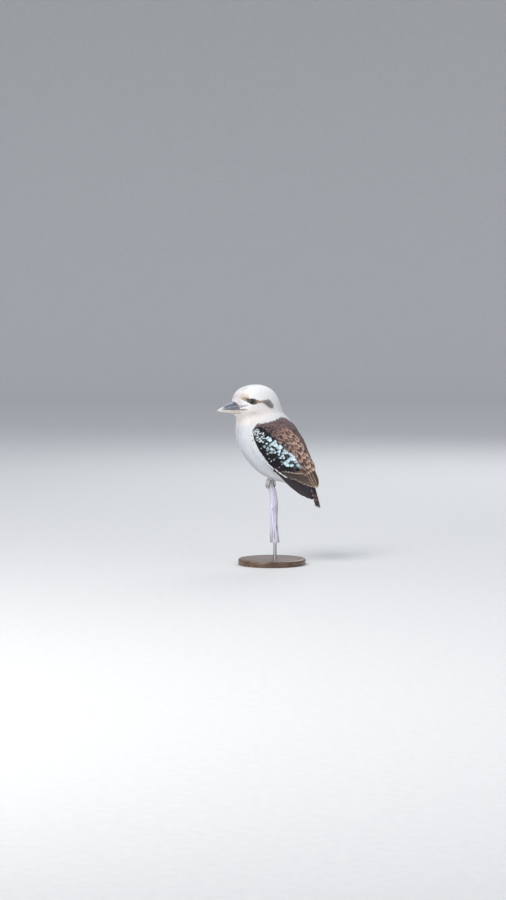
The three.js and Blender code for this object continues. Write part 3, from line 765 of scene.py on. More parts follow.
def body_coat(coat, t, a, rows=5, cols=3, wide=0.42, spread=0.10, shag=0.5, edge=None, thick=0.24, depth=None):
    """Feathers of the head, neck or body from the roots t, a."""
    p, n, d = flow(t, a)
    d = turn_in_plane(d, n, RNG.normal(0, spread, len(t)))
    length = coat_length(t, a, p) * RNG.uniform(0.86, 1.14, len(t))
    gap = eye_gap(p)
    lean = RNG.normal(0, 1, len(t))
    tone = 1 + 0.032 * RNG.normal(0, 1, len(t))
    far = np.clip(length / 12, 0.3, 1.2)
    dep = (0.75 + 1.35 * smooth(3, 12, length)) if depth is None else depth
    lift = (0.04 + shag * RNG.random(len(t)) ** 2) * far
    # the colour is that of the middle of the part that shows
    pm, dt, da, nn = body_frame(t, a)
    c0, c1 = components(dt, da, d)
    tm, am = t + c0 * 0.62 * length, a + c1 * 0.62 * length
    mid_colour = body_colour(np.clip(tm, 0.02, T_END), am, body(np.clip(tm, 0.02, T_END), am))
    dark = dark_back(np.clip(tm, 0.02, T_END), am, body(np.clip(tm, 0.02, T_END), am))

    def colour(s, w, top, i):
        c = mid_colour[:, None, None] * tone[:, None, None, None]
        # a little darker towards the root: painted shade between the feathers
        c = c * (0.97 + 0.03 * smooth(0.0, 0.55, s))[..., None]
        rim = smooth(0.72, 1.02, s + 0.12 * np.abs(w)) * dark[:, None, None]
        c = mix(c, (0.21, 0.135, 0.105), 0.42 * rim)
        shaft = (1 - smooth(0.0, 0.35, np.abs(w))) * dark[:, None, None]
        return c * (1 - 0.30 * shaft)[..., None]

    S = np.linspace(0, 1, rows) ** 0.9
    W = np.linspace(-1, 1, cols)
    tips = {3: [-0.05, 0.03, -0.05], 5: [-0.16, 0.02, -0.06, 0.05, -0.14]}[cols]
    outline = edge or (lock_outline if cols == 3 else soft_outline)
    lay(coat, "body", t, a, d, length, length * wide * RNG.uniform(0.85, 1.15, len(t)), colour, S, W, outline,
        dep, lift, thick=thick, droop=0.045, power=2.1, tip=tips, ragged=0.02, curl=np.where(gap < 14, -0.1, 0.06 * lean * far))


# ---------------------------------------------------------------- materials
class Nodes:
    """Short helpers for one material's node tree."""

    def __init__(self, name):
        self.mat = bpy.data.materials.new(name)
        self.mat.use_nodes = True
        self.tree = self.mat.node_tree
        self.bsdf = next(n for n in self.tree.nodes if n.type == "BSDF_PRINCIPLED")

    def node(self, kind, **inputs):
        n = self.tree.nodes.new(kind)
        for k, v in inputs.items():
            if hasattr(n, k) and not isinstance(v, bpy.types.NodeSocket) and k not in n.inputs:
                setattr(n, k, v)
            else:
                self.set(n.inputs[k], v)
        return n

    def set(self, socket, value):
        if isinstance(value, bpy.types.NodeSocket):
            self.tree.links.new(value, socket)
        else:
            socket.default_value = value

    def math(self, op, a, b=0.0, c=0.0, clamp=False):
        n = self.tree.nodes.new("ShaderNodeMath")
        n.operation, n.use_clamp = op, clamp
        for k, v in enumerate((a, b, c)):
            self.set(n.inputs[k], v)
        return n.outputs[0]

    def mix(self, f, a, b, blend="MIX"):
        n = self.tree.nodes.new("ShaderNodeMix")
        n.data_type, n.blend_type = "RGBA", blend
        self.set(n.inputs[0], f)
        self.set(n.inputs[6], a)
        self.set(n.inputs[7], b)
        return n.outputs[2]

    def noise(self, vector, scale, detail=3.0, rough=0.55):
        n = self.tree.nodes.new("ShaderNodeTexNoise")
        self.set(n.inputs["Vector"], vector)
        n.inputs["Scale"].default_value = scale
        n.inputs["Detail"].default_value = detail
        n.inputs["Roughness"].default_value = rough
        return n.outputs["Fac"]

    def place(self, stretch=(1, 1, 1)):
        t = self.tree.nodes.new("ShaderNodeTexCoord")
        m = self.tree.nodes.new("ShaderNodeMapping")
        self.tree.links.new(t.outputs["Object"], m.inputs["Vector"])
        m.inputs["Scale"].default_value = stretch
        return m.outputs["Vector"]

    def attribute(self, name):
        n = self.tree.nodes.new("ShaderNodeAttribute")
        n.attribute_name = name
        return n

    def bump(self, height, distance, strength=1.0):
        n = self.tree.nodes.new("ShaderNodeBump")
        n.inputs["Strength"].default_value = strength
        n.inputs["Distance"].default_value = distance
        self.set(n.inputs["Height"], height)
        self.set(self.bsdf.inputs["Normal"], n.outputs["Normal"])

    def ramp(self, fac, stops):
        n = self.tree.nodes.new("ShaderNodeValToRGB")
        self.set(n.inputs["Fac"], fac)
        el = n.color_ramp.elements
        while len(el) < len(stops):
            el.new(0.5)
        for e, (pos, col) in zip(el, stops):
            e.position, e.color = pos, (*col, 1)
        return n.outputs["Color"]


def plumage(name, rough=0.72, sheen=0.12, depth=0.00008, barbs=15000.0, contrast=0.16, through=0.0, shine=0.22):
    """Feather: colour from the markings, with fine barbs across the vane and a little unevenness."""
    m = Nodes(name)
    vane = m.attribute("vane")
    sep = m.node("ShaderNodeSeparateXYZ", Vector=vane.outputs["Vector"])
    stripe = m.math("SINE", m.math("MULTIPLY", sep.outputs["X"], barbs / 1000.0))
    fine = m.noise(m.place(), 900.0, 3.0)
    coarse = m.noise(m.place(), 120.0, 2.0)
    shaft = m.math("SUBTRACT", 1.0, m.math("MULTIPLY", sep.outputs["Y"], 9.0), clamp=True)
    tone = m.math("ADD", 1.0 - contrast * 0.5, m.math("MULTIPLY", fine, contrast))
    tone = m.math("ADD", tone, m.math("MULTIPLY", stripe, contrast * 0.22))
    tone = m.math("ADD", tone, m.math("MULTIPLY", m.math("SUBTRACT", coarse, 0.5), contrast * 0.6))
    grey = m.node("ShaderNodeCombineColor", Red=tone, Green=tone, Blue=tone)
    m.set(m.bsdf.inputs["Base Color"], m.mix(1.0, m.attribute("Col").outputs["Color"], grey.outputs[0], "MULTIPLY"))
    m.set(m.bsdf.inputs["Roughness"], m.math("ADD", rough - 0.06, m.math("MULTIPLY", fine, 0.12)))
    m.bsdf.inputs["Sheen Weight"].default_value = sheen
    m.bsdf.inputs["Sheen Roughness"].default_value = 0.5
    m.bsdf.inputs["Specular IOR Level"].default_value = shine
    if through:  # white vanes let some light through
        m.bsdf.inputs["Subsurface Weight"].default_value = through
        m.bsdf.inputs["Subsurface Radius"].default_value = (1.0, 0.9, 0.8)
        m.bsdf.inputs["Subsurface Scale"].default_value = 0.0015
    height = m.math("ADD", m.math("MULTIPLY", stripe, 0.5), m.math("ADD", m.math("MULTIPLY", fine, 0.8), m.math("MULTIPLY", shaft, 0.7)))
    m.bump(height, depth)
    return m.mat


def horn(name, rough=0.36, coat=0.25, grain=1.0):
    """Bill and claws: colour from the form, with fine growth lines along the length."""
    m = Nodes(name)
    lines = m.noise(m.place((0.16, 0.9, 1.4)), 900.0, 4.0, 0.6)
    spots = m.noise(m.place(), 260.0, 3.0)
    tone = m.math("ADD", 0.86, m.math("MULTIPLY", m.math("ADD", m.math("MULTIPLY", lines, 0.6), m.math("MULTIPLY", spots, 0.4)), 0.28 * grain))
    grey = m.node("ShaderNodeCombineColor", Red=tone, Green=tone, Blue=tone)
    m.set(m.bsdf.inputs["Base Color"], m.mix(1.0, m.attribute("Col").outputs["Color"], grey.outputs[0], "MULTIPLY"))
    m.set(m.bsdf.inputs["Roughness"], m.math("ADD", rough - 0.08, m.math("MULTIPLY", spots, 0.18)))
    m.bsdf.inputs["Coat Weight"].default_value = coat
    m.bsdf.inputs["Coat Roughness"].default_value = 0.25
    m.bump(m.math("ADD", lines, m.math("MULTIPLY", spots, 0.5)), 0.00012)
    return m.mat


def skin_material():
    m = Nodes("skin")
    fine = m.noise(m.place(), 700.0, 4.0)
    tone = m.math("ADD", 0.82, m.math("MULTIPLY", fine, 0.36))
    grey = m.node("ShaderNodeCombineColor", Red=tone, Green=tone, Blue=tone)
    m.set(m.bsdf.inputs["Base Color"], m.mix(1.0, m.attribute("Col").outputs["Color"], grey.outputs[0], "MULTIPLY"))
    m.set(m.bsdf.inputs["Roughness"], m.math("ADD", 0.55, m.math("MULTIPLY", fine, 0.2)))
    m.bump(fine, 0.0002)
    return m.mat


def eye_material():
    m = Nodes("eye")
    fibres = m.noise(m.place(), 1500.0, 3.0)
    tone = m.math("ADD", 0.75, m.math("MULTIPLY", fibres, 0.5))
    grey = m.node("ShaderNodeCombineColor", Red=tone, Green=tone, Blue=tone)
    m.set(m.bsdf.inputs["Base Color"], m.mix(1.0, m.attribute("Col").outputs["Color"], grey.outputs[0], "MULTIPLY"))
    m.bsdf.inputs["Roughness"].default_value = 0.10
    m.bsdf.inputs["Specular IOR Level"].default_value = 0.25
    m.bsdf.inputs["Coat Weight"].default_value = 0.55
    m.bsdf.inputs["Coat Roughness"].default_value = 0.03
    return m.mat


def weathered_wood():
    m = Nodes("weathered_wood")
    grain = m.noise(m.place((1.0, 1.0, 0.07)), 420.0, 5.0, 0.65)
    wide = m.noise(m.place((1.0, 1.0, 0.12)), 95.0, 3.0)
    spots = m.noise(m.place(), 160.0, 3.0)
    crack = m.math("MULTIPLY", m.math("SUBTRACT", 0.43, m.noise(m.place((1.0, 1.0, 0.035)), 300.0, 2.0, 0.5)), 9.0, clamp=True)
    col = m.ramp(grain, [(0.25, (0.42, 0.39, 0.42)), (0.48, (0.64, 0.61, 0.66)), (0.72, (0.80, 0.78, 0.84))])
    col = m.mix(m.math("MULTIPLY", m.math("SUBTRACT", wide, 0.45, clamp=True), 1.6, clamp=True), col, (0.36, 0.31, 0.30, 1))
    col = m.mix(m.math("MULTIPLY", m.math("SUBTRACT", spots, 0.58, clamp=True), 2.2, clamp=True), col, (0.42, 0.35, 0.29, 1))
    col = m.mix(m.math("MULTIPLY", crack, 0.8), col, (0.07, 0.055, 0.05, 1))
    m.set(m.bsdf.inputs["Base Color"], m.mix(1.0, m.mix(1.0, col, m.attribute("Col").outputs["Color"], "MULTIPLY"), (0.78, 0.80, 0.88, 1), "MULTIPLY"))
    m.set(m.bsdf.inputs["Roughness"], m.math("ADD", 0.72, m.math("MULTIPLY", spots, 0.2)))
    m.bump(m.math("SUBTRACT", m.math("ADD", grain, m.math("MULTIPLY", spots, 0.3)), crack), 0.0006)
    return m.mat


def stand_wood():
    m = Nodes("stand_wood")
    rings = m.noise(m.place((0.08, 1.0, 1.0)), 110.0, 5.0, 0.6)
    pores = m.noise(m.place((0.05, 1.0, 1.0)), 900.0, 2.0)
    col = m.ramp(rings, [(0.3, (0.035, 0.018, 0.010)), (0.5, (0.085, 0.043, 0.022)), (0.7, (0.16, 0.085, 0.045))])
    col = m.mix(m.math("MULTIPLY", m.math("SUBTRACT", pores, 0.55, clamp=True), 2.5, clamp=True), col, (0.02, 0.011, 0.007, 1))
    m.set(m.bsdf.inputs["Base Color"], col)
    m.set(m.bsdf.inputs["Roughness"], m.math("ADD", 0.30, m.math("MULTIPLY", rings, 0.18)))
    m.bsdf.inputs["Coat Weight"].default_value = 0.35
    m.bsdf.inputs["Coat Roughness"].default_value = 0.18
    m.bump(m.math("ADD", rings, m.math("MULTIPLY", pores, 0.4)), 0.00015)
    return m.mat


def stand_metal():
    m = Nodes("stand_metal")
    brush = m.noise(m.place((1.0, 1.0, 0.04)), 1600.0, 3.0)
    m.set(m.bsdf.inputs["Base Color"], m.ramp(brush, [(0.3, (0.34, 0.34, 0.35)), (0.7, (0.50, 0.50, 0.51))]))
    m.bsdf.inputs["Metallic"].default_value = 1.0
    m.set(m.bsdf.inputs["Roughness"], m.math("ADD", 0.24, m.math("MULTIPLY", brush, 0.2)))
    m.bump(brush, 0.00003)
    return m.mat


soft_white = plumage("white_plumage", rough=0.80, sheen=0.15, contrast=0.08, through=0.35)
vane_dark = plumage("brown_plumage", rough=0.62, sheen=0.0, contrast=0.26, barbs=14000.0, shine=0.11)
tail_mat = plumage("tail_plumage", rough=0.58, sheen=0.02, contrast=0.26, barbs=12000.0)
dark_horn = horn("bill_dark", rough=0.36, grain=1.5)
pale_horn = horn("bill_pale", rough=0.40, grain=1.2)
claw_horn = horn("claw_horn", rough=0.30, coat=0.3)
skin_mat = skin_material()


# ---------------------------------------------------------------- skin
def skin_depth(t, a, p):
    return 0.42 + 0.50 * smooth(3, 12, coat_length(t, a, p))


def build_skin():
    """One skin under the coat of head, neck, trunk, wings and tail, with the bare legs and the eyelids."""
    parts, count = [], 0
    # body
    t, a = np.meshgrid(np.linspace(0.02, T_END - 0.02, 230), np.arange(140) * 2 * np.pi / 140, indexing="ij")
    p, dt, da, n = body_frame(t, a)
    v = p - n * skin_depth(t, a, p)[..., None]
    nt, na = t.shape
    caps = np.array([v[0].mean(0), v[-1].mean(0)])
    j = np.arange(na)
    faces4 = [grid_faces(nt, na, flip=True)]
    faces3 = [np.stack([np.full(na, nt * na), (j + 1) % na, j], -1)[:, ::-1], np.stack([np.full(na, nt * na + 1), (nt - 1) * na + j, (nt - 1) * na + (j + 1) % na], -1)[:, ::-1]]
    parts.append(np.concatenate([v.reshape(-1, 3), caps]))
    count += len(parts[-1])
    # wings: an outer and an inner sheet joined all round
    for side in (-1, 1):
        nu, nv = 90, 44
        u, w = np.meshgrid(np.linspace(0.015, 0.74, nu), np.linspace(0.05, 0.96, nv), indexing="ij")
        out = wing(u, w, side, 2.3)
        thick = (1.2 + 9 * np.sin(np.pi * np.clip(w, 0.03, 0.97)) ** 0.7) * (1 - 0.62 * smooth(0.55, 1, u))
        inner = wing(u, w, side, np.maximum(thick - 0.6, 2.9))
        v = np.concatenate([out.reshape(-1, 3), inner.reshape(-1, 3)])
        f_out = grid_faces(nu, nv, closed=False, start=count, flip=side > 0)
        f_in = grid_faces(nu, nv, closed=False, start=count + nu * nv, flip=side < 0)
        k = np.arange(nu * nv).reshape(nu, nv)
        loop = np.concatenate([k[:, 0], k[-1, 1:], k[::-1, -1][1:], k[0, ::-1][1:-1]])
        nxt = np.roll(loop, -1)
        rim = np.stack([loop, nxt, nxt + nu * nv, loop + nu * nv], -1) + count
        rim = rim if side > 0 else rim[:, ::-1]
        faces4 += [f_out, f_in, rim]
        parts.append(v)
        count += len(v)
    ob = make_mesh("skin", np.concatenate(parts), faces4 + faces3)
    for kind, values in (("REMESH", {"mode": "VOXEL", "voxel_size": 0.0015, "use_smooth_shade": True}), ("SMOOTH", {"factor": 0.6, "iterations": 5})):
        m = ob.modifiers.new(kind.lower(), kind)
        for k, val in values.items():
            setattr(m, k, val)
    me = bpy.data.meshes.new_from_object(ob.evaluated_get(bpy.context.evaluated_depsgraph_get()))
    bpy.data.objects.remove(ob)
    nv_, nf = len(me.vertices), len(me.polygons)
    co = np.empty(nv_ * 3, np.float32)
    me.vertices.foreach_get("co", co)
    co = co.reshape(-1, 3) / MM
    start, total = np.empty(nf, np.int32), np.empty(nf, np.int32)
    me.polygons.foreach_get("loop_start", start)
    me.polygons.foreach_get("loop_total", total)
    idx = np.empty(len(me.loops), np.int32)
    me.loops.foreach_get("vertex_index", idx)
    quads = idx[start[total == 4][:, None] + np.arange(4)]
    tris = idx[start[total == 3][:, None] + np.arange(3)]
    bpy.data.meshes.remove(me)
    # its markings are those of the nearest place on the coat
    t, a = np.meshgrid(np.linspace(0, T_END, 150), np.linspace(0, 2 * np.pi, 150), indexing="ij")
    pts = body(t, a).reshape(-1, 3)
    body_col = body_colour(t, a, pts.reshape(*t.shape, 3)).reshape(-1, 3)
    u, w = np.meshgrid(np.linspace(0, 1, 80), np.linspace(0, 1, 40), indexing="ij")
    cols, all_pts = [body_col], [pts]
    for side in (-1, 1):
        all_pts.append(wing(u, w, side).reshape(-1, 3))
        cols.append(np.broadcast_to(np.array([0.055, 0.045, 0.043]), (u.size, 3)))
    all_pts, cols = np.concatenate(all_pts), np.concatenate(cols)
    tree = KDTree(len(all_pts))
    for k, c in enumerate(all_pts.tolist()):
        tree.insert(c, k)
    tree.balance()
    near = np.array([tree.find(c)[1] for c in co.tolist()])
    # a little darker than the coat above it: painted shade under the feathers
    colour = cols[near] * 0.92
    verts, f4, f3, col = [co], [quads], [tris], [colour]
    count = len(co)

    def join(v, q, tri, c):
        nonlocal count
        verts.append(v)
        if len(q):
            f4.append(q + count)
        if len(tri):
            f3.append(tri + count)
        col.append(np.broadcast_to(np.asarray(c, float), (len(v), 3)).copy())
        count += len(v)

    # eyelids
    for side in (-1, 1):
        centre, axis, e1, e2 = eye_axes(side)
        nphi = 96
        phi = np.arange(nphi) * 2 * np.pi / nphi
        cos2 = np.cos(phi) ** 2
        section = [(40.5, 7.32), (41.5, 7.62), (44.5, 7.86), (49.0, 7.98), (54.0, 7.94), (60.0, 7.70), (68.0, 7.1), (74.0, 6.2), (66.0, 5.8), (52.0, 6.4)]
        rows = []
        for th, r in section:
            open_ = np.radians(th + 4.5 * cos2 * (1 - smooth(48, 66, th)))
            wrinkle = 0.05 * np.sin(phi * 23) * smooth(44, 50, th) * smooth(66, 56, th)
            rr = r + wrinkle
            rows.append(centre + rr[:, None] * (np.cos(open_)[:, None] * axis + np.sin(open_)[:, None] * (np.cos(phi)[:, None] * e1 + np.sin(phi)[:, None] * e2)))
        rows = np.array(rows)
        m = len(section)
        v = rows.reshape(-1, 3)
        i, jj = np.meshgrid(np.arange(m), np.arange(nphi), indexing="ij")
        q = np.stack([i * nphi + jj, i * nphi + (jj + 1) % nphi, ((i + 1) % m) * nphi + (jj + 1) % nphi, ((i + 1) % m) * nphi + jj], -1).reshape(-1, 4)
        if np.linalg.det(np.array([axis, e1, e2])) < 0:
            q = q[:, ::-1]
        shade = np.repeat(np.array([0.025, 0.028, 0.05, 0.065, 0.06, 0.05, 0.04, 0.04, 0.04, 0.04]), nphi)[:, None] * np.array([1.0, 0.86, 0.84])
        join(v, q, np.empty((0, 3), int), shade)

    # legs: scaled shanks and toes
    def scutes(arc, ang):
        ring = np.abs(((arc / 1.7) % 1) - 0.5) * 2
        return 0.055 * (1 - ring**3) * (0.65 + 0.35 * np.cos(ang)) + 0.012 * np.sin(ang * 5 + arc * 3)

    for side in (-1, 1):
        for pts, rad in leg_paths(side):
            v, q, tri = tube(pts, rad, sides=30, step=0.32, bumps=scutes)
            tone = 1 + 0.10 * noise(v, 1.4, 31) - 0.28 * smooth(0.75, 1.0, np.abs(((v[:, 2] / 1.7) % 1) - 0.5) * 2)
            join(v, q, tri, np.array([0.42, 0.395, 0.365]) * tone[:, None])
    ob = make_mesh("skin", np.concatenate(verts), [np.concatenate(f4), np.concatenate(f3)])
    put_colour(ob, np.concatenate(col))
    ob.data.materials.append(skin_mat)
    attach(ob, "root")
    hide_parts("head", "neck", "trunk", "tail", "wing_left", "wing_right", "leg_left", "leg_right")
    return ob


def eye_axes(side):
    """Centre of an eye, the way it looks, and two directions across."""
    centre = on_head(EYE_Q, side * EYE_Y, EYE_Z)
    a = math.radians(264 if side < 0 else 96)
    p, dt, da, n = body_frame(np.array(3.69), np.array(a))
    ahead = on_head(1.0, 0, 0) - on_head(0.0, 0, 0)
    e1 = ahead - n * (ahead @ n)
    e1 = e1 / np.linalg.norm(e1)
    return centre, n, e1, np.cross(n, e1)


PX = -2.3
TOES = {1: (142, 7.5, 2.0), 2: (14, 8.0, 1.95), 3: (40, 11.0, 2.15), 4: (64, 9.0, 1.95)}
CLAW = 7.5


def leg_paths(side):
    """Centre lines and radii of a shank and its toes."""
    out = []
    shank = np.array([[9, 13.5, 217], [6, 11, 209], [2, 7.8, 200.5], [PX + 1.5, 6.2, 196.9]], float)
    shank[:, 1] *= side
    out.append((shank, [3.8, 3.0, 2.5, 3.1]))
    for angle, reach, r in TOES.values():
        c, s = math.cos(math.radians(angle)), math.sin(math.radians(angle))
        rim = 8.4 + r

        def at(rho, z):
            return [PX - c * rho, side * s * rho, z]
        out.append((np.array([shank[-1], at(rim - 3.4, PERCH_TOP + r + 0.9), at(rim + 0.1, PERCH_TOP - 1.2), at(rim + 0.6, PERCH_TOP - 5), at(rim + 0.9, PERCH_TOP - reach)]),
                    np.array([1.15, 1.08, 1.0, 0.95, 0.8]) * r))
    return out


def build_claws(side, name):
    verts, f4, f3, cols, count = [], [], [], [], 0
    for angle, reach, r in TOES.values():
        c, s = math.cos(math.radians(angle)), math.sin(math.radians(angle))
        rim = 8.4 + r

        def at(rho, z):
            return [PX - c * rho, side * s * rho, z]
        pts = [at(rim + 0.9, PERCH_TOP - reach + 0.6), at(rim + 1.5, PERCH_TOP - reach - 0.22 * CLAW), at(rim + 1.35, PERCH_TOP - reach - 0.5 * CLAW), at(rim + 0.6, PERCH_TOP - reach - 0.78 * CLAW), at(rim - 0.4, PERCH_TOP - reach - CLAW)]
        v, q, tri = tube(pts, np.array([0.74, 0.70, 0.52, 0.30, 0.07]) * r, sides=22, step=0.25)
        low = smooth(PERCH_TOP - reach, PERCH_TOP - reach - CLAW, v[:, 2])
        verts.append(v)
        f4.append(q + count)
        f3.append(tri + count)
        cols.append(mix((0.16, 0.14, 0.125), (0.035, 0.03, 0.03), low))
        count += len(v)
    ob = make_mesh(name, np.concatenate(verts), [np.concatenate(f4), np.concatenate(f3)])
    put_colour(ob, np.concatenate(cols))
    ob.data.materials.append(claw_horn)
    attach(ob, "root")
    word = "left" if side < 0 else "right"
    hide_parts(*[f"claw_{word}_{k}" for k in (1, 2, 3, 4)])


# ---------------------------------------------------------------- eyes and bill
def build_eye(side, name, node):
    centre, axis, e1, e2 = eye_axes(side)
    rings, around = 64, 96
    th = np.linspace(0, np.pi, rings)[1:-1]
    ph = np.arange(around) * 2 * np.pi / around
    look = unit(axis + 0.10 * e1)
    f1 = unit(e1 - look * (e1 @ look))
    f2 = np.cross(look, f1)
    # a clear bulge over the iris, as on a real cornea
    r = EYE_R + 0.22 * np.exp(-((th / 0.55) ** 2))
    v = centre + r[:, None, None] * (np.cos(th)[:, None, None] * look + np.sin(th)[:, None, None] * (np.cos(ph)[None, :, None] * f1 + np.sin(ph)[None, :, None] * f2))
    poles = np.array([centre + look * (EYE_R + 0.22), centre - look * EYE_R])
    n = len(th)
    j = np.arange(around)
    f3 = np.concatenate([np.stack([np.full(around, n * around), j, (j + 1) % around], -1), np.stack([np.full(around, n * around + 1), (n - 1) * around + (j + 1) % around, (n - 1) * around + j], -1)])
    q = grid_faces(n, around, flip=True)
    if np.linalg.det(np.array([look, f1, f2])) < 0:
        q, f3 = q[:, ::-1], f3[:, ::-1]
    ang = np.degrees(th)
    iris = mix((0.022, 0.011, 0.006), (0.010, 0.006, 0.005), smooth(32, 44, ang))
    colour = mix((0.0015, 0.0015, 0.0015), iris, smooth(22.0, 24.5, ang))
    colour = mix(colour, (0.02, 0.015, 0.013), smooth(44, 48, ang))
    cols = np.concatenate([np.repeat(colour, around, 0), [[0.002] * 3, [0.02, 0.015, 0.013]]])
    ob = make_mesh(name, np.concatenate([v.reshape(-1, 3), poles]), [q, f3])
    put_colour(ob, cols)
    ob.data.materials.append(eye_mat)
    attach(ob, "root")
    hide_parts(node)


eye_mat = eye_material()


def build_gape(side, name):
    """The bare edge of the upper mandible, which runs on over the cheek to below the eye."""
    t, a = np.meshgrid(np.linspace(0.05, 6, 240), np.linspace(0.05, np.pi - 0.05, 260), indexing="ij")
    p = body(t, -side * a if side < 0 else a)
    q, y, z = (k.ravel() for k in head_frame(p))
    qs = np.linspace(46.5, 66, 60)
    zs, hs = np.interp(qs, GAPE_Q, GAPE_Z), np.interp(qs, GAPE_Q, GAPE_H)
    pick = [int(np.argmin((q - a_) ** 2 + (z - b_) ** 2 + np.where(y * side > 0, 0, 1e6))) for a_, b_ in zip(qs, zs)]
    ys = np.convolve(np.pad(np.abs(y[pick]), 4, mode="edge"), np.ones(9) / 9, "valid")
    ys = np.maximum(ys, np.interp(qs, [45, 60, 66], [0, 0, 14.0]))
    phi = np.arange(28) * 2 * np.pi / 28
    ring_y = (ys[:, None] - 0.72 + 0.80 * np.minimum(1, hs[:, None] / 1.6) * np.cos(phi)[None]) * side
    ring_z = zs[:, None] + hs[:, None] * np.sin(phi)[None]
    v = on_head(qs[:, None] + 0 * ring_y, ring_y, ring_z)
    n = len(qs)
    j = np.arange(28)
    verts = np.concatenate([v.reshape(-1, 3), [v[0].mean(0), v[-1].mean(0)]])
    f4 = grid_faces(n, 28, flip=side > 0)
    f3 = np.concatenate([np.stack([np.full(28, n * 28), (j + 1) % 28, j], -1), np.stack([np.full(28, n * 28 + 1), (n - 1) * 28 + j, (n - 1) * 28 + (j + 1) % 28], -1)])
    f3 = f3[:, ::-1] if side > 0 else f3
    col = mix((0.56, 0.50, 0.52), (0.30, 0.29, 0.335), smooth(48, 62, qs)[:, None] + 0 * ring_y)
    # dark line along the middle of the gape: painted shade of the mouth's slit
    mouth_slit_shade = np.exp(-(((np.sin(phi) - 0.15) / 0.22) ** 2))[None] * np.ones((n, 1))
    col = mix(col, (0.17, 0.15, 0.175), 0.75 * mouth_slit_shade)
    ob = make_mesh(name, verts, [f4, f3])
    put_colour(ob, np.concatenate([col.reshape(-1, 3), [[0.3] * 3, [0.2] * 3]]))
    ob.data.materials.append(dark_horn)
    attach(ob, "root")


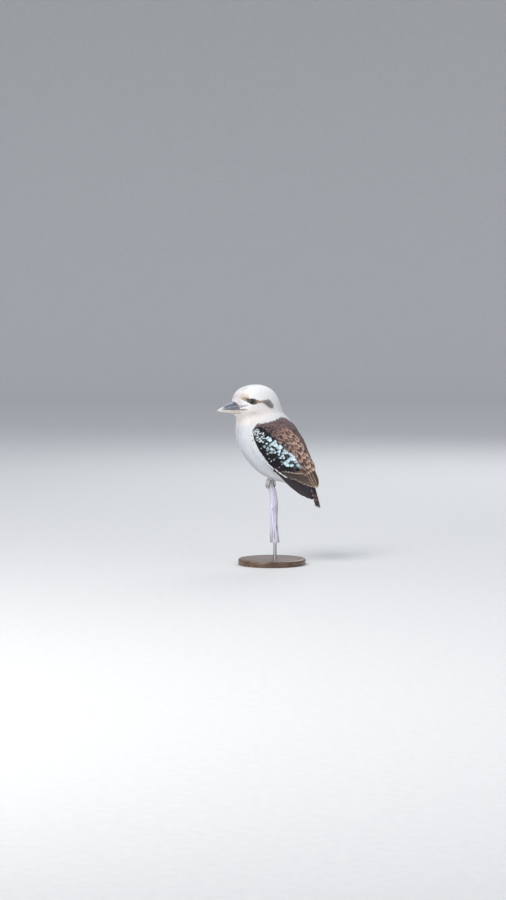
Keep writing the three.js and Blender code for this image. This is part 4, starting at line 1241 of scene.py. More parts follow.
def build_bill(upper):
    rows, arcs = 190, 81
    t = np.linspace(0, len(BILL) - 1, rows)
    row = along(BILL, t)
    q, top, edge0, keel, w = np.moveaxis(row, -1, 0)
    sign = 1 if upper else -1
    edge = edge0 + sign * GAP / 2
    tall = (top - edge0 if upper else edge0 - keel) - GAP / 2
    a = np.linspace(0, np.pi, arcs)
    ca, sa = np.cos(a), np.sin(a)
    Q = np.broadcast_to(q[:, None], (rows, arcs)).copy()
    fall = smooth(116, 96, Q)
    Y = ca[None] * w[:, None]
    Z = edge[:, None] + sign * (np.maximum(sa, 0)[None] ** 0.85) * tall[:, None]
    fold = np.degrees(np.minimum(a, np.pi - a))[None] * np.ones((rows, 1))  # 0 at the cutting edge, 90 on the ridge
    dent = np.zeros_like(Q)
    if upper:
        dent += 0.42 * np.exp(-(((fold - 40) / 7.0) ** 2)) * smooth(92, 70, Q)  # groove that holds the nostril
        dent += 0.9 * np.exp(-(((fold - 41) / 5.0) ** 2) - ((Q - 73.0) / 3.6) ** 2)  # nostril
        dent += 0.30 * np.exp(-(((fold - 66) / 9.0) ** 2)) * smooth(100, 78, Q)  # flat flanks of the ridge
        dent -= 0.22 * np.exp(-(((fold - 8) / 6.0) ** 2)) * fall  # cutting edge
    else:
        dent += 0.35 * np.exp(-(((fold - 34) / 10.0) ** 2)) * smooth(104, 84, Q)
        dent -= 0.20 * np.exp(-(((fold - 9) / 6.0) ** 2)) * fall
    dent *= np.minimum(1, w[:, None] / 6)
    Y = Y - ca[None] * dent * (w[:, None] / 12 + 0.2)
    Z = Z - sign * sa[None] * dent
    v = on_head(Q, Y, Z)
    # the flat side is a strip between the two edges, so each station is a closed ring
    inner = 9
    k = np.linspace(0, 1, inner + 2)[1:-1]
    strip = v[:, -1][:, None] * (1 - k)[None, :, None] + v[:, 0][:, None] * k[None, :, None]
    ring = np.concatenate([v, strip], 1)
    sides = arcs + inner
    verts = np.concatenate([ring.reshape(-1, 3), [ring[0].mean(0), ring[-1].mean(0)]])
    j = np.arange(sides)
    f4 = grid_faces(rows, sides, flip=not upper)
    f3 = np.concatenate([np.stack([np.full(sides, rows * sides), (j + 1) % sides, j], -1), np.stack([np.full(sides, rows * sides + 1), (rows - 1) * sides + j, (rows - 1) * sides + (j + 1) % sides], -1)])
    f3 = f3 if upper else f3[:, ::-1]
    f4, f3 = f4[:, ::-1], f3[:, ::-1]
    wob = noise(v * np.array([0.3, 1, 1]), 3.0, 41)
    if upper:
        # the horn is near black; the lighter blue-grey towards the ridge is painted sky reflection, and the two paler
        # bands along the side are partly streaks in the horn, partly painted highlight
        col = mix((0.060, 0.065, 0.087), (0.18, 0.20, 0.25), smooth(46, 68, fold + 4 * wob) * smooth(68, 80, Q))
        col = mix(col, (0.115, 0.115, 0.15), 0.62 * np.exp(-(((fold - 37 + 3 * wob) / 6.5) ** 2)) * smooth(66, 76, Q) * smooth(110, 98, Q))
        col = mix(col, (0.27, 0.28, 0.33), 0.60 * np.exp(-(((fold - 20 + 2 * wob) / 6.0) ** 2)) * smooth(62, 74, Q))
        col = mix(col, (0.20, 0.185, 0.21), 0.60 * smooth(11, 4, fold))
        col = mix(col, (0.13, 0.125, 0.145), 0.50 * smooth(84, 90, fold + 2 * wob) * smooth(106, 90, Q))
        col = mix(col, (0.60, 0.585, 0.575), 0.85 * smooth(98, 113, Q + 3 * wob))
        col = mix(col, (0.20, 0.19, 0.22), 0.45 * smooth(74, 62, Q + 2 * wob))
        col = mix(col, (0.02, 0.018, 0.02), 0.95 * np.exp(-((((fold - 41) / 3.4) ** 2 + ((Q - 73.0) / 2.9) ** 2) ** 2)))
    else:
        col = mix((0.64, 0.57, 0.465), (0.70, 0.65, 0.57), smooth(80, 100, Q))
        # dark along the cutting edge: painted shade of the gap between the mandibles
        col = mix(col, (0.22, 0.20, 0.225), 0.75 * smooth(13, 6, fold + 2 * wob) * smooth(98, 80, Q))
        col = mix(col, (0.25, 0.225, 0.23), 0.70 * smooth(70, 60, Q + 3 * wob + 0.05 * fold))
        # brownish and dimmer towards the keel: painted shade on the underside
        col = mix(col, (0.34, 0.29, 0.26), 0.55 * smooth(62, 86, fold + 6 * wob) * smooth(112, 98, Q))
    col = col * (1 + 0.10 * wob[..., None])
    # the flat strip between the cutting edges is dark: painted shade of the gap between the mandibles
    inside = np.broadcast_to(np.array([0.06, 0.045, 0.045]), (rows, inner, 3))
    cols = np.concatenate([np.concatenate([col, inside], 1).reshape(-1, 3), [[0.1] * 3, [0.3] * 3]])
    ob = make_mesh("bill_top" if upper else "bill_under", verts, [f4, f3], sharp=55)
    put_colour(ob, cols)
    ob.data.materials.append(dark_horn if upper else pale_horn)
    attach(ob, "root")
    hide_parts("bill_upper" if upper else "bill_lower")


# ---------------------------------------------------------------- wings
LINE_A = ([0.0, 0.10, 0.20, 0.30, 0.40, 0.52, 0.63, 0.75], [0.555, 0.580, 0.609, 0.640, 0.671, 0.700, 0.727, 0.755])


def in_band(u, v):
    """1 inside the pale blue band of the wing."""
    low = np.interp(u, [0.05, 0.20, 0.30, 0.42, 0.55, 0.60, 0.64], [0.06, 0.14, 0.22, 0.27, 0.30, 0.42, 0.56])
    top = np.interp(u, [0.05, 0.20, 0.30, 0.42, 0.55, 0.60, 0.64], [0.34, 0.46, 0.54, 0.58, 0.62, 0.64, 0.64])
    return smooth(low - 0.035, low + 0.02, v) * smooth(top + 0.03, top - 0.02, v) * smooth(0.03, 0.07, u) * smooth(0.655, 0.62, u)


def wing_coverts(side, rng):
    """Small feathers of the fore wing, in rows from the shoulder back."""
    u, v = [], []
    k = 0
    row = 0.004
    while row < 0.64:
        step = 0.080 + 0.018 * smooth(0.1, 0.4, row)
        vs = np.arange(0.03 + (k % 2) * step / 2, 0.74, step)
        for x in vs:
            length = 13.0 + 6.0 * smooth(0.05, 0.45, row)
            if row + length / 250 < np.interp(x, *LINE_A) - 0.030:
                u.append(row + rng.normal(0, 0.0034))
                v.append(x + rng.normal(0, 0.010))
        row += 0.0225 + 0.0075 * float(smooth(0.05, 0.4, row))
        k += 1
    u, v = np.array(u), np.array(v)
    length = (13.0 + 6.0 * smooth(0.05, 0.45, u)) * rng.uniform(0.84, 1.16, len(u))
    width = (9.2 + 2.6 * smooth(0.05, 0.4, u)) * rng.uniform(0.88, 1.14, len(u))
    seen = u + 0.72 * length / 250
    spot = np.stack([seen * 250, v * 105, 0 * v], -1)
    band = in_band(seen + 0.010 * noise(spot, 9, 52), v + 0.020 * noise(spot, 9, 53))
    shoulder = smooth(0.27, 0.19, seen)
    # the upper edge of the band is nearly one pale strip; lower down it breaks up into separate marks
    strip = np.exp(-(((v - np.interp(seen, [0.2, 0.27, 0.40, 0.55, 0.62], [0.42, 0.47, 0.52, 0.565, 0.60])) / 0.062) ** 2)) * smooth(0.24, 0.30, seen)
    foot = np.exp(-(((v - 0.40) / 0.09) ** 2)) * smooth(0.50, 0.54, seen)
    strip = np.clip(strip + 0.6 * foot, 0, 1)
    chance = rng.random(len(u))
    bright = rng.uniform(0.62, 1.15, len(u)) + 0.15 * strip
    low_dot = (1 - band) * smooth(0.36, 0.26, v) * (chance < 0.36) * smooth(0.12, 0.2, seen)
    gap = chance > 0.80 + 0.25 * strip
    band = np.where(gap | ((np.abs(v - 0.475) < 0.03) & (seen > 0.47)), 0.12 * band, band)
    base = mix(BLACK, (0.034, 0.029, 0.031), smooth(0.55, 0.66, v))
    side_shift = rng.uniform(-0.55, 0.55, len(u)) * (1 - 0.8 * strip)
    spot_from = rng.uniform(0.62, 0.76, len(u)) - 0.22 * strip - 0.08 * shoulder
    reach = rng.uniform(0.50, 0.95, len(u)) + 0.35 * strip
    whiten = rng.random(len(u))

    def colour(s, w, top, i):
        def g(x):
            return x[:, None, None]
        c = base[:, None, None] * np.ones(s.shape)[..., None]
        off = np.abs(w - g(side_shift))
        bow = s + 0.10 * off**2
        mark = smooth(g(spot_from), g(spot_from) + 0.09, bow) * (1 - smooth(g(reach) - 0.18, g(reach) + 0.12, off))
        blue = mix(AZURE, PALE_AZURE, np.clip(smooth(0.66, 1.0, s) * 0.6 + 0.5 * g(whiten) + 0.15 * g(strip), 0, 1))
        pale = mix(blue, SPOT, g(shoulder) * 0.85)
        c = mix(c, pale * g(bright)[..., None], mark * g(band) * 0.97)
        dot = np.exp(-(((s - 0.94) / 0.055) ** 2) - (((w - g(side_shift)) / 0.38) ** 2))
        return mix(c, (0.56, 0.55, 0.60), np.clip(1.3 * dot, 0, 1) * g(low_dot))

    coat = Coat(f"wing_coverts_{'left' if side < 0 else 'right'}")
    lay(coat, side, u, v, None, length, width, colour, [0, 0.2, 0.4, 0.54, 0.66, 0.76, 0.85, 0.93, 1], np.linspace(-1, 1, 9), vane_outline,
        1.15, 0.30 + 0.16 * rng.random(len(u)), thick=0.20, droop=0.035, power=2.0, tip=[-0.09, -0.045, -0.02, -0.005, 0.0, -0.005, -0.02, -0.045, -0.09],
        to=(u + length / 250, v + 0.01 + rng.normal(0, 0.014, len(u))), tilt=-side * 0.12, ragged=0.022, curl=0.12 * rng.normal(0, 1, len(u)))

    # the small feathers along the wing's lower edge
    um = np.arange(0.38, 0.50, 0.0105)
    um = um + rng.normal(0, 0.0015, len(um))
    vm = 0.004 + rng.normal(0, 0.003, len(um))
    pale_one = rng.random(len(um)) < 0.12

    def colour_edge(s, w, top, i):
        c = np.array(BLACK) * 1.2 * np.ones(s.shape)[..., None]
        return mix(c, (0.45, 0.45, 0.48), 0.7 * smooth(0.85, 0.97, s) * pale_one[:, None, None])
    lay(coat, side, um, vm, None, 12.0, 5.4, colour_edge, [0, 0.25, 0.5, 0.75, 0.9, 1], np.linspace(-1, 1, 5), vane_outline,
        1.3, 0.22, thick=0.2, droop=0.05, tip=[-0.10, -0.02, 0.02, -0.02, -0.10], to=(um + 0.047, vm + 0.004), tilt=-side * 0.1, ragged=0.02)

    # great coverts, whose tips make the slanting line across the wing
    v1 = np.array([0.03, 0.09, 0.15, 0.21, 0.27, 0.335, 0.40, 0.47, 0.54, 0.61, 0.68])
    u1 = np.interp(v1, *LINE_A) + 0.004
    n = len(v1)
    u0, v0 = u1 - 0.19, v1 - 0.035
    brown = smooth(0.40, 0.52, v1)

    def colour2(s, w, top, i):
        def g(x):
            return x[:, None, None]
        c = mix(mix(BLACK, SLATE, 0.6)[None, None, None] * np.ones(s.shape + (1,)), (0.125, 0.068, 0.052), g(brown))
        c = c * (1 + 0.12 * noise(top, 3.0, 51))[..., None]
        lower = w * side  # the edge nearer the belly
        rim = smooth(0.922, 0.955, s + 0.02 * np.abs(w)) * smooth(0.10, 0.22, g(v1))
        rim = np.maximum(rim, 0.45 * smooth(0.72, 0.95, lower) * smooth(0.6, 0.8, s) * g(brown))
        return mix(c, (0.70, 0.59, 0.46), 0.92 * rim)

    lay(coat, side, u0, v0, None, 45.0, 12.5, colour2, np.linspace(0, 1, 16), np.linspace(-1, 1, 7), flight_outline,
        1.7, 0.05, thick=0.3, droop=0.03, power=1.6, tip=[-0.07, -0.03, 0, 0.005, 0, -0.03, -0.07], to=(u1, v1), tilt=-side * 0.42, full=True, ragged=0.006)
    return coat


def scapulars(side, rng):
    """The long feathers that lie over the upper edge of the wing."""
    u, v = [], []
    k = 0
    row = -0.015
    while row < 0.63:
        step = 0.092
        for x in np.arange(0.645 + (k % 2) * step / 2, 1.04, step):
            if row < 0.02 and x > 0.93:
                continue
            u.append(row + rng.normal(0, 0.005))
            v.append(x + rng.normal(0, 0.010))
        row += 0.034 + 0.012 * float(smooth(0.1, 0.5, row))
        k += 1
    u, v = np.array(u), np.minimum(v, 0.99)
    length = (20 + 20 * smooth(0.0, 0.5, u)) * rng.uniform(0.92, 1.08, len(u))
    width = (9.0 + 4.6 * smooth(0.0, 0.45, u)) * rng.uniform(0.88, 1.12, len(u))
    seen = u + 0.75 * length / 265
    warm = smooth(0.17, 0.38, seen + 0.10 * (v - 0.8)) * (0.70 + 0.30 * smooth(0.62, 0.8, v))
    pale = smooth(0.30, 0.52, seen) * smooth(0.64, 0.86, v)
    tone = rng.uniform(0.75, 1.2, len(u))
    fringe = rng.uniform(0.45, 1.0, len(u))

    def colour(s, w, top, i):
        def g(x):
            return x[:, None, None]
        c = mix(BACK_TOP, (0.158, 0.092, 0.074), g(warm)) * g(tone)[..., None]
        c = c * (1 - 0.50 * (1 - smooth(0.10, 0.75, np.abs(w))) * smooth(0.2, 0.7, s))[..., None]
        mottle = noise(top * np.array([1.0, 1.0, 0.7]), 3.2, 61)
        c = c * (1 + 0.22 * mottle)[..., None]
        edge = smooth(0.66, 0.98, np.maximum(s + 0.06 * np.abs(w), 0.10 + 0.90 * np.abs(w) * smooth(0.30, 0.62, s)) + 0.07 * mottle)
        rim = mix((0.19, 0.125, 0.105), BUFF, np.clip(g(warm) * (0.50 + 0.45 * g(pale)), 0, 1))
        return mix(c, rim, edge * g(fringe) * (0.35 + 0.60 * g(warm)))

    coat = Coat(f"scapulars_{'left' if side < 0 else 'right'}")
    lay(coat, side, u, v, None, length, width, colour, [0, 0.12, 0.28, 0.42, 0.54, 0.64, 0.74, 0.83, 0.91, 0.96, 1], np.linspace(-1, 1, 9), point_outline,
        1.0, 0.42 + 0.35 * rng.random(len(u)), thick=0.26, droop=0.05, power=1.9, tip=[-0.12, -0.06, -0.025, -0.005, 0.01, -0.005, -0.025, -0.06, -0.12],
        to=(u + length / 265, np.clip(v - 0.015 + rng.normal(0, 0.02, len(u)), 0.6, 0.985)), tilt=-side * 0.16, ragged=0.014, curl=0.25 * rng.normal(0, 1, len(u)))
    return coat


def flight_feathers(side, rng):
    """Primaries, secondaries and tertials of the folded wing, the uppermost lying outermost."""
    coat = Coat(f"flight_feathers_{'left' if side < 0 else 'right'}")
    S = np.concatenate([np.linspace(0, 0.8, 20), [0.85, 0.90, 0.94, 0.97, 0.988, 1.0]])
    W = np.linspace(-1, 1, 9)
    point = [-0.060, -0.026, -0.008, 0, 0.003, 0, -0.008, -0.026, -0.060]
    groups = []
    # primaries: root u, v and tip u, v
    prim = [(0.36, -0.005, 0.800, 0.035), (0.38, 0.015, 0.875, 0.07), (0.40, 0.035, 0.930, 0.13), (0.42, 0.055, 0.968, 0.21), (0.44, 0.08, 0.992, 0.31),
            (0.45, 0.11, 1.000, 0.43), (0.46, 0.14, 0.995, 0.55), (0.47, 0.18, 0.975, 0.66)]
    groups.append(("primary", prim, 10.0, 1.95, -0.95))
    sec = [(0.45, 0.13, 0.690, 0.20), (0.455, 0.18, 0.715, 0.285), (0.46, 0.24, 0.760, 0.36), (0.465, 0.30, 0.800, 0.43), (0.465, 0.37, 0.838, 0.51), (0.465, 0.44, 0.872, 0.60), (0.46, 0.51, 0.898, 0.69)]
    groups.append(("secondary", sec, 13.0, 1.75, -0.45))
    tert = [(0.45, 0.58, 0.918, 0.775), (0.44, 0.68, 0.935, 0.865), (0.42, 0.79, 0.950, 0.95)]
    groups.append(("tertial", tert, 15.5, 1.35, 0.10))
    total = sum(len(g[1]) for g in groups)
    across, tall = 6, math.ceil(total / 6)
    made = 0
    for kind, table, width, depth, lift in groups:
        a = np.array(table, float)
        n = len(a)
        order = np.arange(n)
        width = np.full(n, width) * (1 - 0.10 * (order == 0))
        tone = rng.uniform(0.9, 1.1, n)
        v_tip = a[:, 3]

        def colour(s, w, top, i, kind=kind, tone=tone, v_tip=v_tip):
            def g(x):
                return x[:, None, None]
            lower = w * side
            one = np.ones(s.shape)[..., None]
            fibre = noise(np.stack([s * 9, w * 3 + g(v_tip) * 40, g(tone) * 9 + 0 * s], -1), 0.5, 71)
            if kind == "primary":
                c = mix(SLATE, (0.044, 0.038, 0.042), smooth(0.2, 0.9, lower)) * g(tone)[..., None] * one
                white = smooth(0.42, 0.30, s) * smooth(0.1, 0.5, lower) * (g(v_tip) < 0.2)
                c = mix(c, (0.30, 0.28, 0.29), 0.25 * white)
                rim = smooth(0.93, 1.0, np.abs(w)) * smooth(0.5, 0.8, s)
                c = mix(c, (0.13, 0.11, 0.11), 0.35 * rim)
            elif kind == "secondary":
                c = mix(OLIVE, (0.095, 0.070, 0.058), smooth(0.3, 0.7, g(v_tip))) * g(tone)[..., None] * one
                c = mix(c, SLATE, 0.4 * smooth(0.4, -0.4, lower))
                rim = np.maximum(smooth(0.945, 0.975, s), 0.85 * smooth(0.80, 0.93, lower) * smooth(0.66, 0.88, s))
                c = mix(c, (0.54, 0.43, 0.325), 0.85 * rim * smooth(0.20, 0.34, g(v_tip) + 0.06))
            else:
                c = mix((0.090, 0.062, 0.050), (0.15, 0.095, 0.07), smooth(0.2, 0.95, np.abs(w))) * g(tone)[..., None] * one
                bars = smooth(0.3, 0.8, np.sin(s * 44 + 1.5 * np.abs(w) + g(v_tip) * 9)) * smooth(0.35, 0.75, s)
                c = mix(c, (0.045, 0.032, 0.028), 0.35 * bars)
                rim = np.maximum(smooth(0.94, 0.975, s + 0.015 * np.abs(w)), 0.90 * smooth(0.76, 0.92, np.abs(w)) * smooth(0.50, 0.75, s))
                c = mix(c, (0.74, 0.58, 0.42), 0.88 * rim)
            shaft = (1 - smooth(0.02, 0.16, np.abs(w))) * smooth(1.0, 0.85, s)
            return mix(c * (1 + 0.14 * fibre)[..., None], (0.03, 0.022, 0.02), 0.5 * shaft)

        cell = (made + order, across, tall)
        length = 265 * (a[:, 2] - a[:, 0])
        lay(coat, side, a[:, 0], a[:, 1], None, length, width, colour, S, W, flight_outline, depth, lift + 0.03 * order, thick=0.30,
            droop=0.018, power=1.2, tip=point, to=(a[:, 2], a[:, 3]), tilt=-side * 0.55, full=True, ragged=0.0015, cell=cell)
        made += n
    # the white streaks low on the wing, where the primaries begin, are laid by wing_streaks
    return coat


def wing_streaks(side, rng):
    coat = Coat(f"wing_streaks_{'left' if side < 0 else 'right'}")
    a = np.array([(0.475, 0.010, 0.565, 0.038), (0.520, 0.018, 0.612, 0.066), (0.565, 0.034, 0.655, 0.104)])

    def colour(s, w, top, i):
        ragged = noise(top * np.array([1, 1, 1]), 1.6, 72)
        white = smooth(0.30, 0.50, s + 0.10 * ragged) * smooth(-0.45, 0.05, w * side + 0.3 * ragged) * smooth(1.10, 0.85, s)
        return mix((0.035, 0.032, 0.038), (0.68, 0.65, 0.64), white)
    lay(coat, side, a[:, 0], a[:, 1], None, 24.0, 4.8, colour, np.linspace(0, 1, 14), np.linspace(-1, 1, 7), flight_outline, 0.9, 0.32,
        thick=0.26, droop=0.05, tip=[-0.12, -0.05, -0.01, 0.02, -0.01, -0.05, -0.12], to=(a[:, 2], a[:, 3]), ragged=0.01, tilt=-side * 0.15)
    return coat


def place_on_body(x, z, side):
    """Section and angle of the body's surface at a point seen from the side."""
    t = side_place(x, z)
    fx, fz, bx, bz, w, k = np.moveaxis(along(SECTIONS, t), -1, 0)
    f = ((x - fx) * (bx - fx) + (z - fz) * (bz - fz)) / np.hypot(bx - fx, bz - fz) ** 2
    c = np.clip(1 - 2 * f, -0.999, 0.999)
    return t, side * np.arccos(np.sign(c) * np.abs(c) ** (k / 2))


def flank_feathers(side, rng):
    """White feathers of the side of the breast, which lap over the front and lower edge of the folded wing."""
    rows = []
    for v_ in (-0.085, -0.062, -0.040, -0.018):
        for u_ in np.arange(-0.02, 0.47, 0.0060):
            reach = 1 - 0.5 * float(smooth(0.30, 0.47, u_))
            rows.append((u_, v_, u_ + 0.056, v_ + 0.074 * reach))
    for u_ in (-0.050, -0.038, -0.026, -0.014):
        for v_ in np.arange(-0.06, 0.56, 0.0150):
            rows.append((u_, v_, u_ + 0.052, v_ - 0.012))
    a = np.array(rows)
    a += rng.normal(0, 1, a.shape) * np.array([0.0025, 0.006, 0.0045, 0.009])

    def flat(u, v):
        first = wing_flat(np.zeros_like(u), v)
        ahead = first + (wing_flat(np.full_like(u, 0.03), v) - first) * (u / 0.03)[:, None]
        return np.where((u < 0)[:, None], ahead, wing_flat(u, v))
    root, tip = flat(a[:, 0], a[:, 1]), flat(a[:, 2], a[:, 3])
    t0, a0 = place_on_body(root[:, 0], root[:, 1], side)
    t1, a1 = place_on_body(tip[:, 0], tip[:, 1], side)
    inside = (a[:, 3] > -0.01) & (a[:, 2] > -0.005)
    y_wing = np.abs(turned(wing(np.maximum(a[:, 2], 0), np.maximum(a[:, 3], 0), side), back=True)[:, 1])
    stand = np.clip(y_wing - side_of(tip[:, 0], tip[:, 1], 0.0), 0, 7.5)
    near = smooth(-0.045, 0.0, a[:, 3]) * smooth(-0.03, 0.0, a[:, 2])
    lift = near * (stand + 0.45 * inside) + 0.15 + 0.35 * rng.random(len(a))
    p0, p1 = body(t0, a0), body(t1, a1)
    length = np.linalg.norm(p1 - p0, axis=1)
    tone = body_colour(t0, a0, p0) * (1 + 0.03 * rng.normal(0, 1, len(a)))[:, None]

    def colour(s, w, top, i):
        # a little darker towards the root: painted shade between the feathers
        return tone[:, None, None] * (0.96 + 0.04 * s)[..., None]
    coat = Coat(f"flank_feathers_{'left' if side < 0 else 'right'}")
    lay(coat, "body", t0, a0, None, length, length * 0.165 * rng.uniform(0.85, 1.15, len(a)), colour, np.linspace(0, 1, 8), np.linspace(-1, 1, 3),
        lock_outline, 1.0, lift, thick=0.13, droop=0.05, power=2.5, tip=[-0.05, 0.03, -0.05], to=(t1, a1), ragged=0.02)
    return coat


# ---------------------------------------------------------------- tail
TAIL_LEN = float(np.hypot(*(TAIL_TIP - TAIL_ROOT)))
TAIL_AX = (TAIL_TIP - TAIL_ROOT) / TAIL_LEN
TAIL_UP = np.array([-TAIL_AX[1], TAIL_AX[0]])


def tail_point(f, s, out=0.0):
    """The tail's upper surface: f from root to tip, s from left edge to right edge."""
    f, s, out = np.broadcast_arrays(np.asarray(f, float), np.asarray(s, float), np.asarray(out, float))
    fc = np.clip(f, 0, 1)
    w = 15 + 13 * fc**0.8
    up = -(6.5 + 1.5 * fc) * s * s + 2 * np.sin(np.pi * fc) + (3.2 - 1.5 * fc) * (1 - 0.55 * np.clip(s * s, 0, 1.2)) + out
    return np.stack([TAIL_ROOT[0] + TAIL_AX[0] * TAIL_LEN * f + TAIL_UP[0] * up, w * s, TAIL_ROOT[1] + TAIL_AX[1] * TAIL_LEN * f + TAIL_UP[1] * up], -1)


def build_tail():
    coat = Coat("tail_feathers")
    k = np.array([-5, -4, -3, -2, -1, 0, 0, 1, 2, 3, 4, 5]) + np.array([-0.5] * 6 + [0.5] * 6)
    n = len(k)
    nr, nc = 84, 11
    S = np.concatenate([np.linspace(0, 0.86, 74), [0.875, 0.89, 0.91, 0.93, 0.95, 0.965, 0.978, 0.988, 0.994, 1.0]])
    W = np.linspace(-1, 1, nc)
    tip_f = 1.0 - (5.0 * np.abs(k / 5.5) ** 2.5 + 1.0) / TAIL_LEN
    s0, s1 = k / 5.5 * 0.55, k / 5.5 * 0.80
    width = 12.5
    f = S[None, :, None] * tip_f[:, None, None]
    cs = s0[:, None, None] + (s1 - s0)[:, None, None] * S[None, :, None] ** 0.8
    half = 15 + 13 * np.clip(f, 0, 1) ** 0.8
    shape = np.interp(S, [0, 0.06, 0.25, 0.8, 0.93, 0.98, 1], [0.35, 0.6, 0.85, 1.0, 0.90, 0.62, 0.30])[None, :, None]
    ss = cs + W[None, None] * shape * width / 2 / half
    outward = np.sign(k)[:, None, None]
    stack = -0.36 * np.abs(k)[:, None, None] + 0.10
    stack = stack - 0.16 * W[None, None] * outward
    stack = stack + 0.10 * (k[:, None, None] > 0)
    top = tail_point(f, ss, stack - 0.02 * width * shape * W[None, None] ** 2)
    e = 1e-3
    d1 = tail_point(f + e, ss) - tail_point(f - e, ss)
    d2 = tail_point(f, ss + e) - tail_point(f, ss - e)
    nrm = unit(np.cross(d1, d2))
    lateral = np.array([-0.030, -0.016, -0.007, -0.002, 0, 0.001, 0, -0.002, -0.007, -0.016, -0.030])
    axis3 = np.array([TAIL_AX[0], 0, TAIL_AX[1]])
    top[:, -1] += axis3 * (lateral * TAIL_LEN)[None, :, None]
    top[:, -2] += axis3 * (0.6 * lateral * TAIL_LEN)[None, :, None]
    # a feather's width runs the way that makes its upper side face out
    s = np.broadcast_to(S[None, :, None], (n, nr, nc))
    w = np.broadcast_to(W[None, None], (n, nr, nc))
    outer = np.abs(k)[:, None, None] / 5.5
    tone = RNG.uniform(0.92, 1.08, n)[:, None, None, None]
    base = mix((0.120, 0.072, 0.052), (0.145, 0.082, 0.056), smooth(0.0, 0.8, np.abs(w)))
    along_mm = s * TAIL_LEN + 2.2 * np.abs(w) + 1.0 * noise(top, 6.0, 81) + 0.35 * noise(top * np.array([1, 1, 0.3]), 0.9, 83)
    bar = smooth(-0.05, 0.35, np.sin(along_mm * 2 * np.pi / 10.5 + outer * 1.2))
    col = mix(base, (0.020, 0.015, 0.016), 0.92 * bar)
    col = mix(col, (0.030, 0.022, 0.022), 0.8 * smooth(0.86, 0.90, s) * smooth(0.965, 0.94, s))
    col = mix(col, (0.60, 0.56, 0.52), smooth(0.955, 0.975, s) * (0.25 + 0.75 * outer))
    col = mix(col, (0.60, 0.57, 0.54), 0.75 * smooth(0.80, 0.95, w * np.sign(k)[:, None, None]) * smooth(0.72, 0.95, outer) * (1 - bar) * smooth(0.3, 0.5, s))
    shaft = (1 - smooth(0.02, 0.14, np.abs(w)))
    col = mix(col * tone * (1 + 0.12 * noise(top * np.array([1, 1, 0.4]), 1.2, 82))[..., None], (0.05, 0.03, 0.022), 0.5 * shaft)
    barb = s * TAIL_LEN + 0.55 * np.abs(w) * width
    rnd = np.broadcast_to(RNG.random(n)[:, None, None], s.shape)
    idx = np.arange(n)
    ox, oy = 0.02 + (idx % 6) * 0.16, 0.02 + (idx // 6) * 0.48
    uv = np.stack([ox[:, None, None] + 0.16 * (0.5 + 0.46 * w), oy[:, None, None] + 0.48 * (0.02 + 0.96 * s)], -1)
    thick = 0.34 * np.interp(S, [0, 0.1, 0.8, 1], [1.0, 1, 0.8, 0.35])[None] * np.ones((n, 1))
    coat.add(top, nrm, thick, col, np.stack([barb, np.abs(w), rnd], -1), uv, full=True)
    return coat


def tail_coverts():
    """Feathers that cover the root of the tail above."""
    rng = np.random.default_rng(9)
    coat = Coat("tail_coverts")
    t, a = [], []
    for k, row in enumerate(np.arange(15.6, 19.4, 0.42)):
        for off in np.arange(-52, 53, 13.0):
            t.append(row + rng.normal(0, 0.05))
            a.append(np.pi + math.radians(off + (k % 2) * 6.5 + rng.normal(0, 1.2)))
    t, a = np.array(t), np.array(a)
    n = len(t)
    p, nn, d = flow(t, a)
    length = rng.uniform(23, 28, n)
    tone = rng.uniform(0.85, 1.15, n)

    def colour(s, w, top, i):
        c = mix(BACK_TOP, RUFOUS, 0.7 + 0 * s) * tone[:, None, None, None]
        bars = smooth(0.2, 0.7, np.sin(s * 15 + 0.8 * np.abs(w)))
        c = mix(c, (0.035, 0.026, 0.026), 0.6 * bars)
        return mix(c, (0.20, 0.13, 0.10), 0.5 * smooth(0.88, 1.0, s + 0.05 * np.abs(w)))
    lay(coat, "body", t, a, d, length, 10.5, colour, [0, 0.12, 0.28, 0.44, 0.6, 0.74, 0.86, 0.94, 1], np.linspace(-1, 1, 7), vane_outline,
        1.6, 0.5 + 0.5 * rng.random(n), thick=0.3, droop=0.05, power=1.8, tip=[-0.14, -0.05, 0.0, 0.03, 0.0, -0.05, -0.14], ragged=0.014)
    return coat


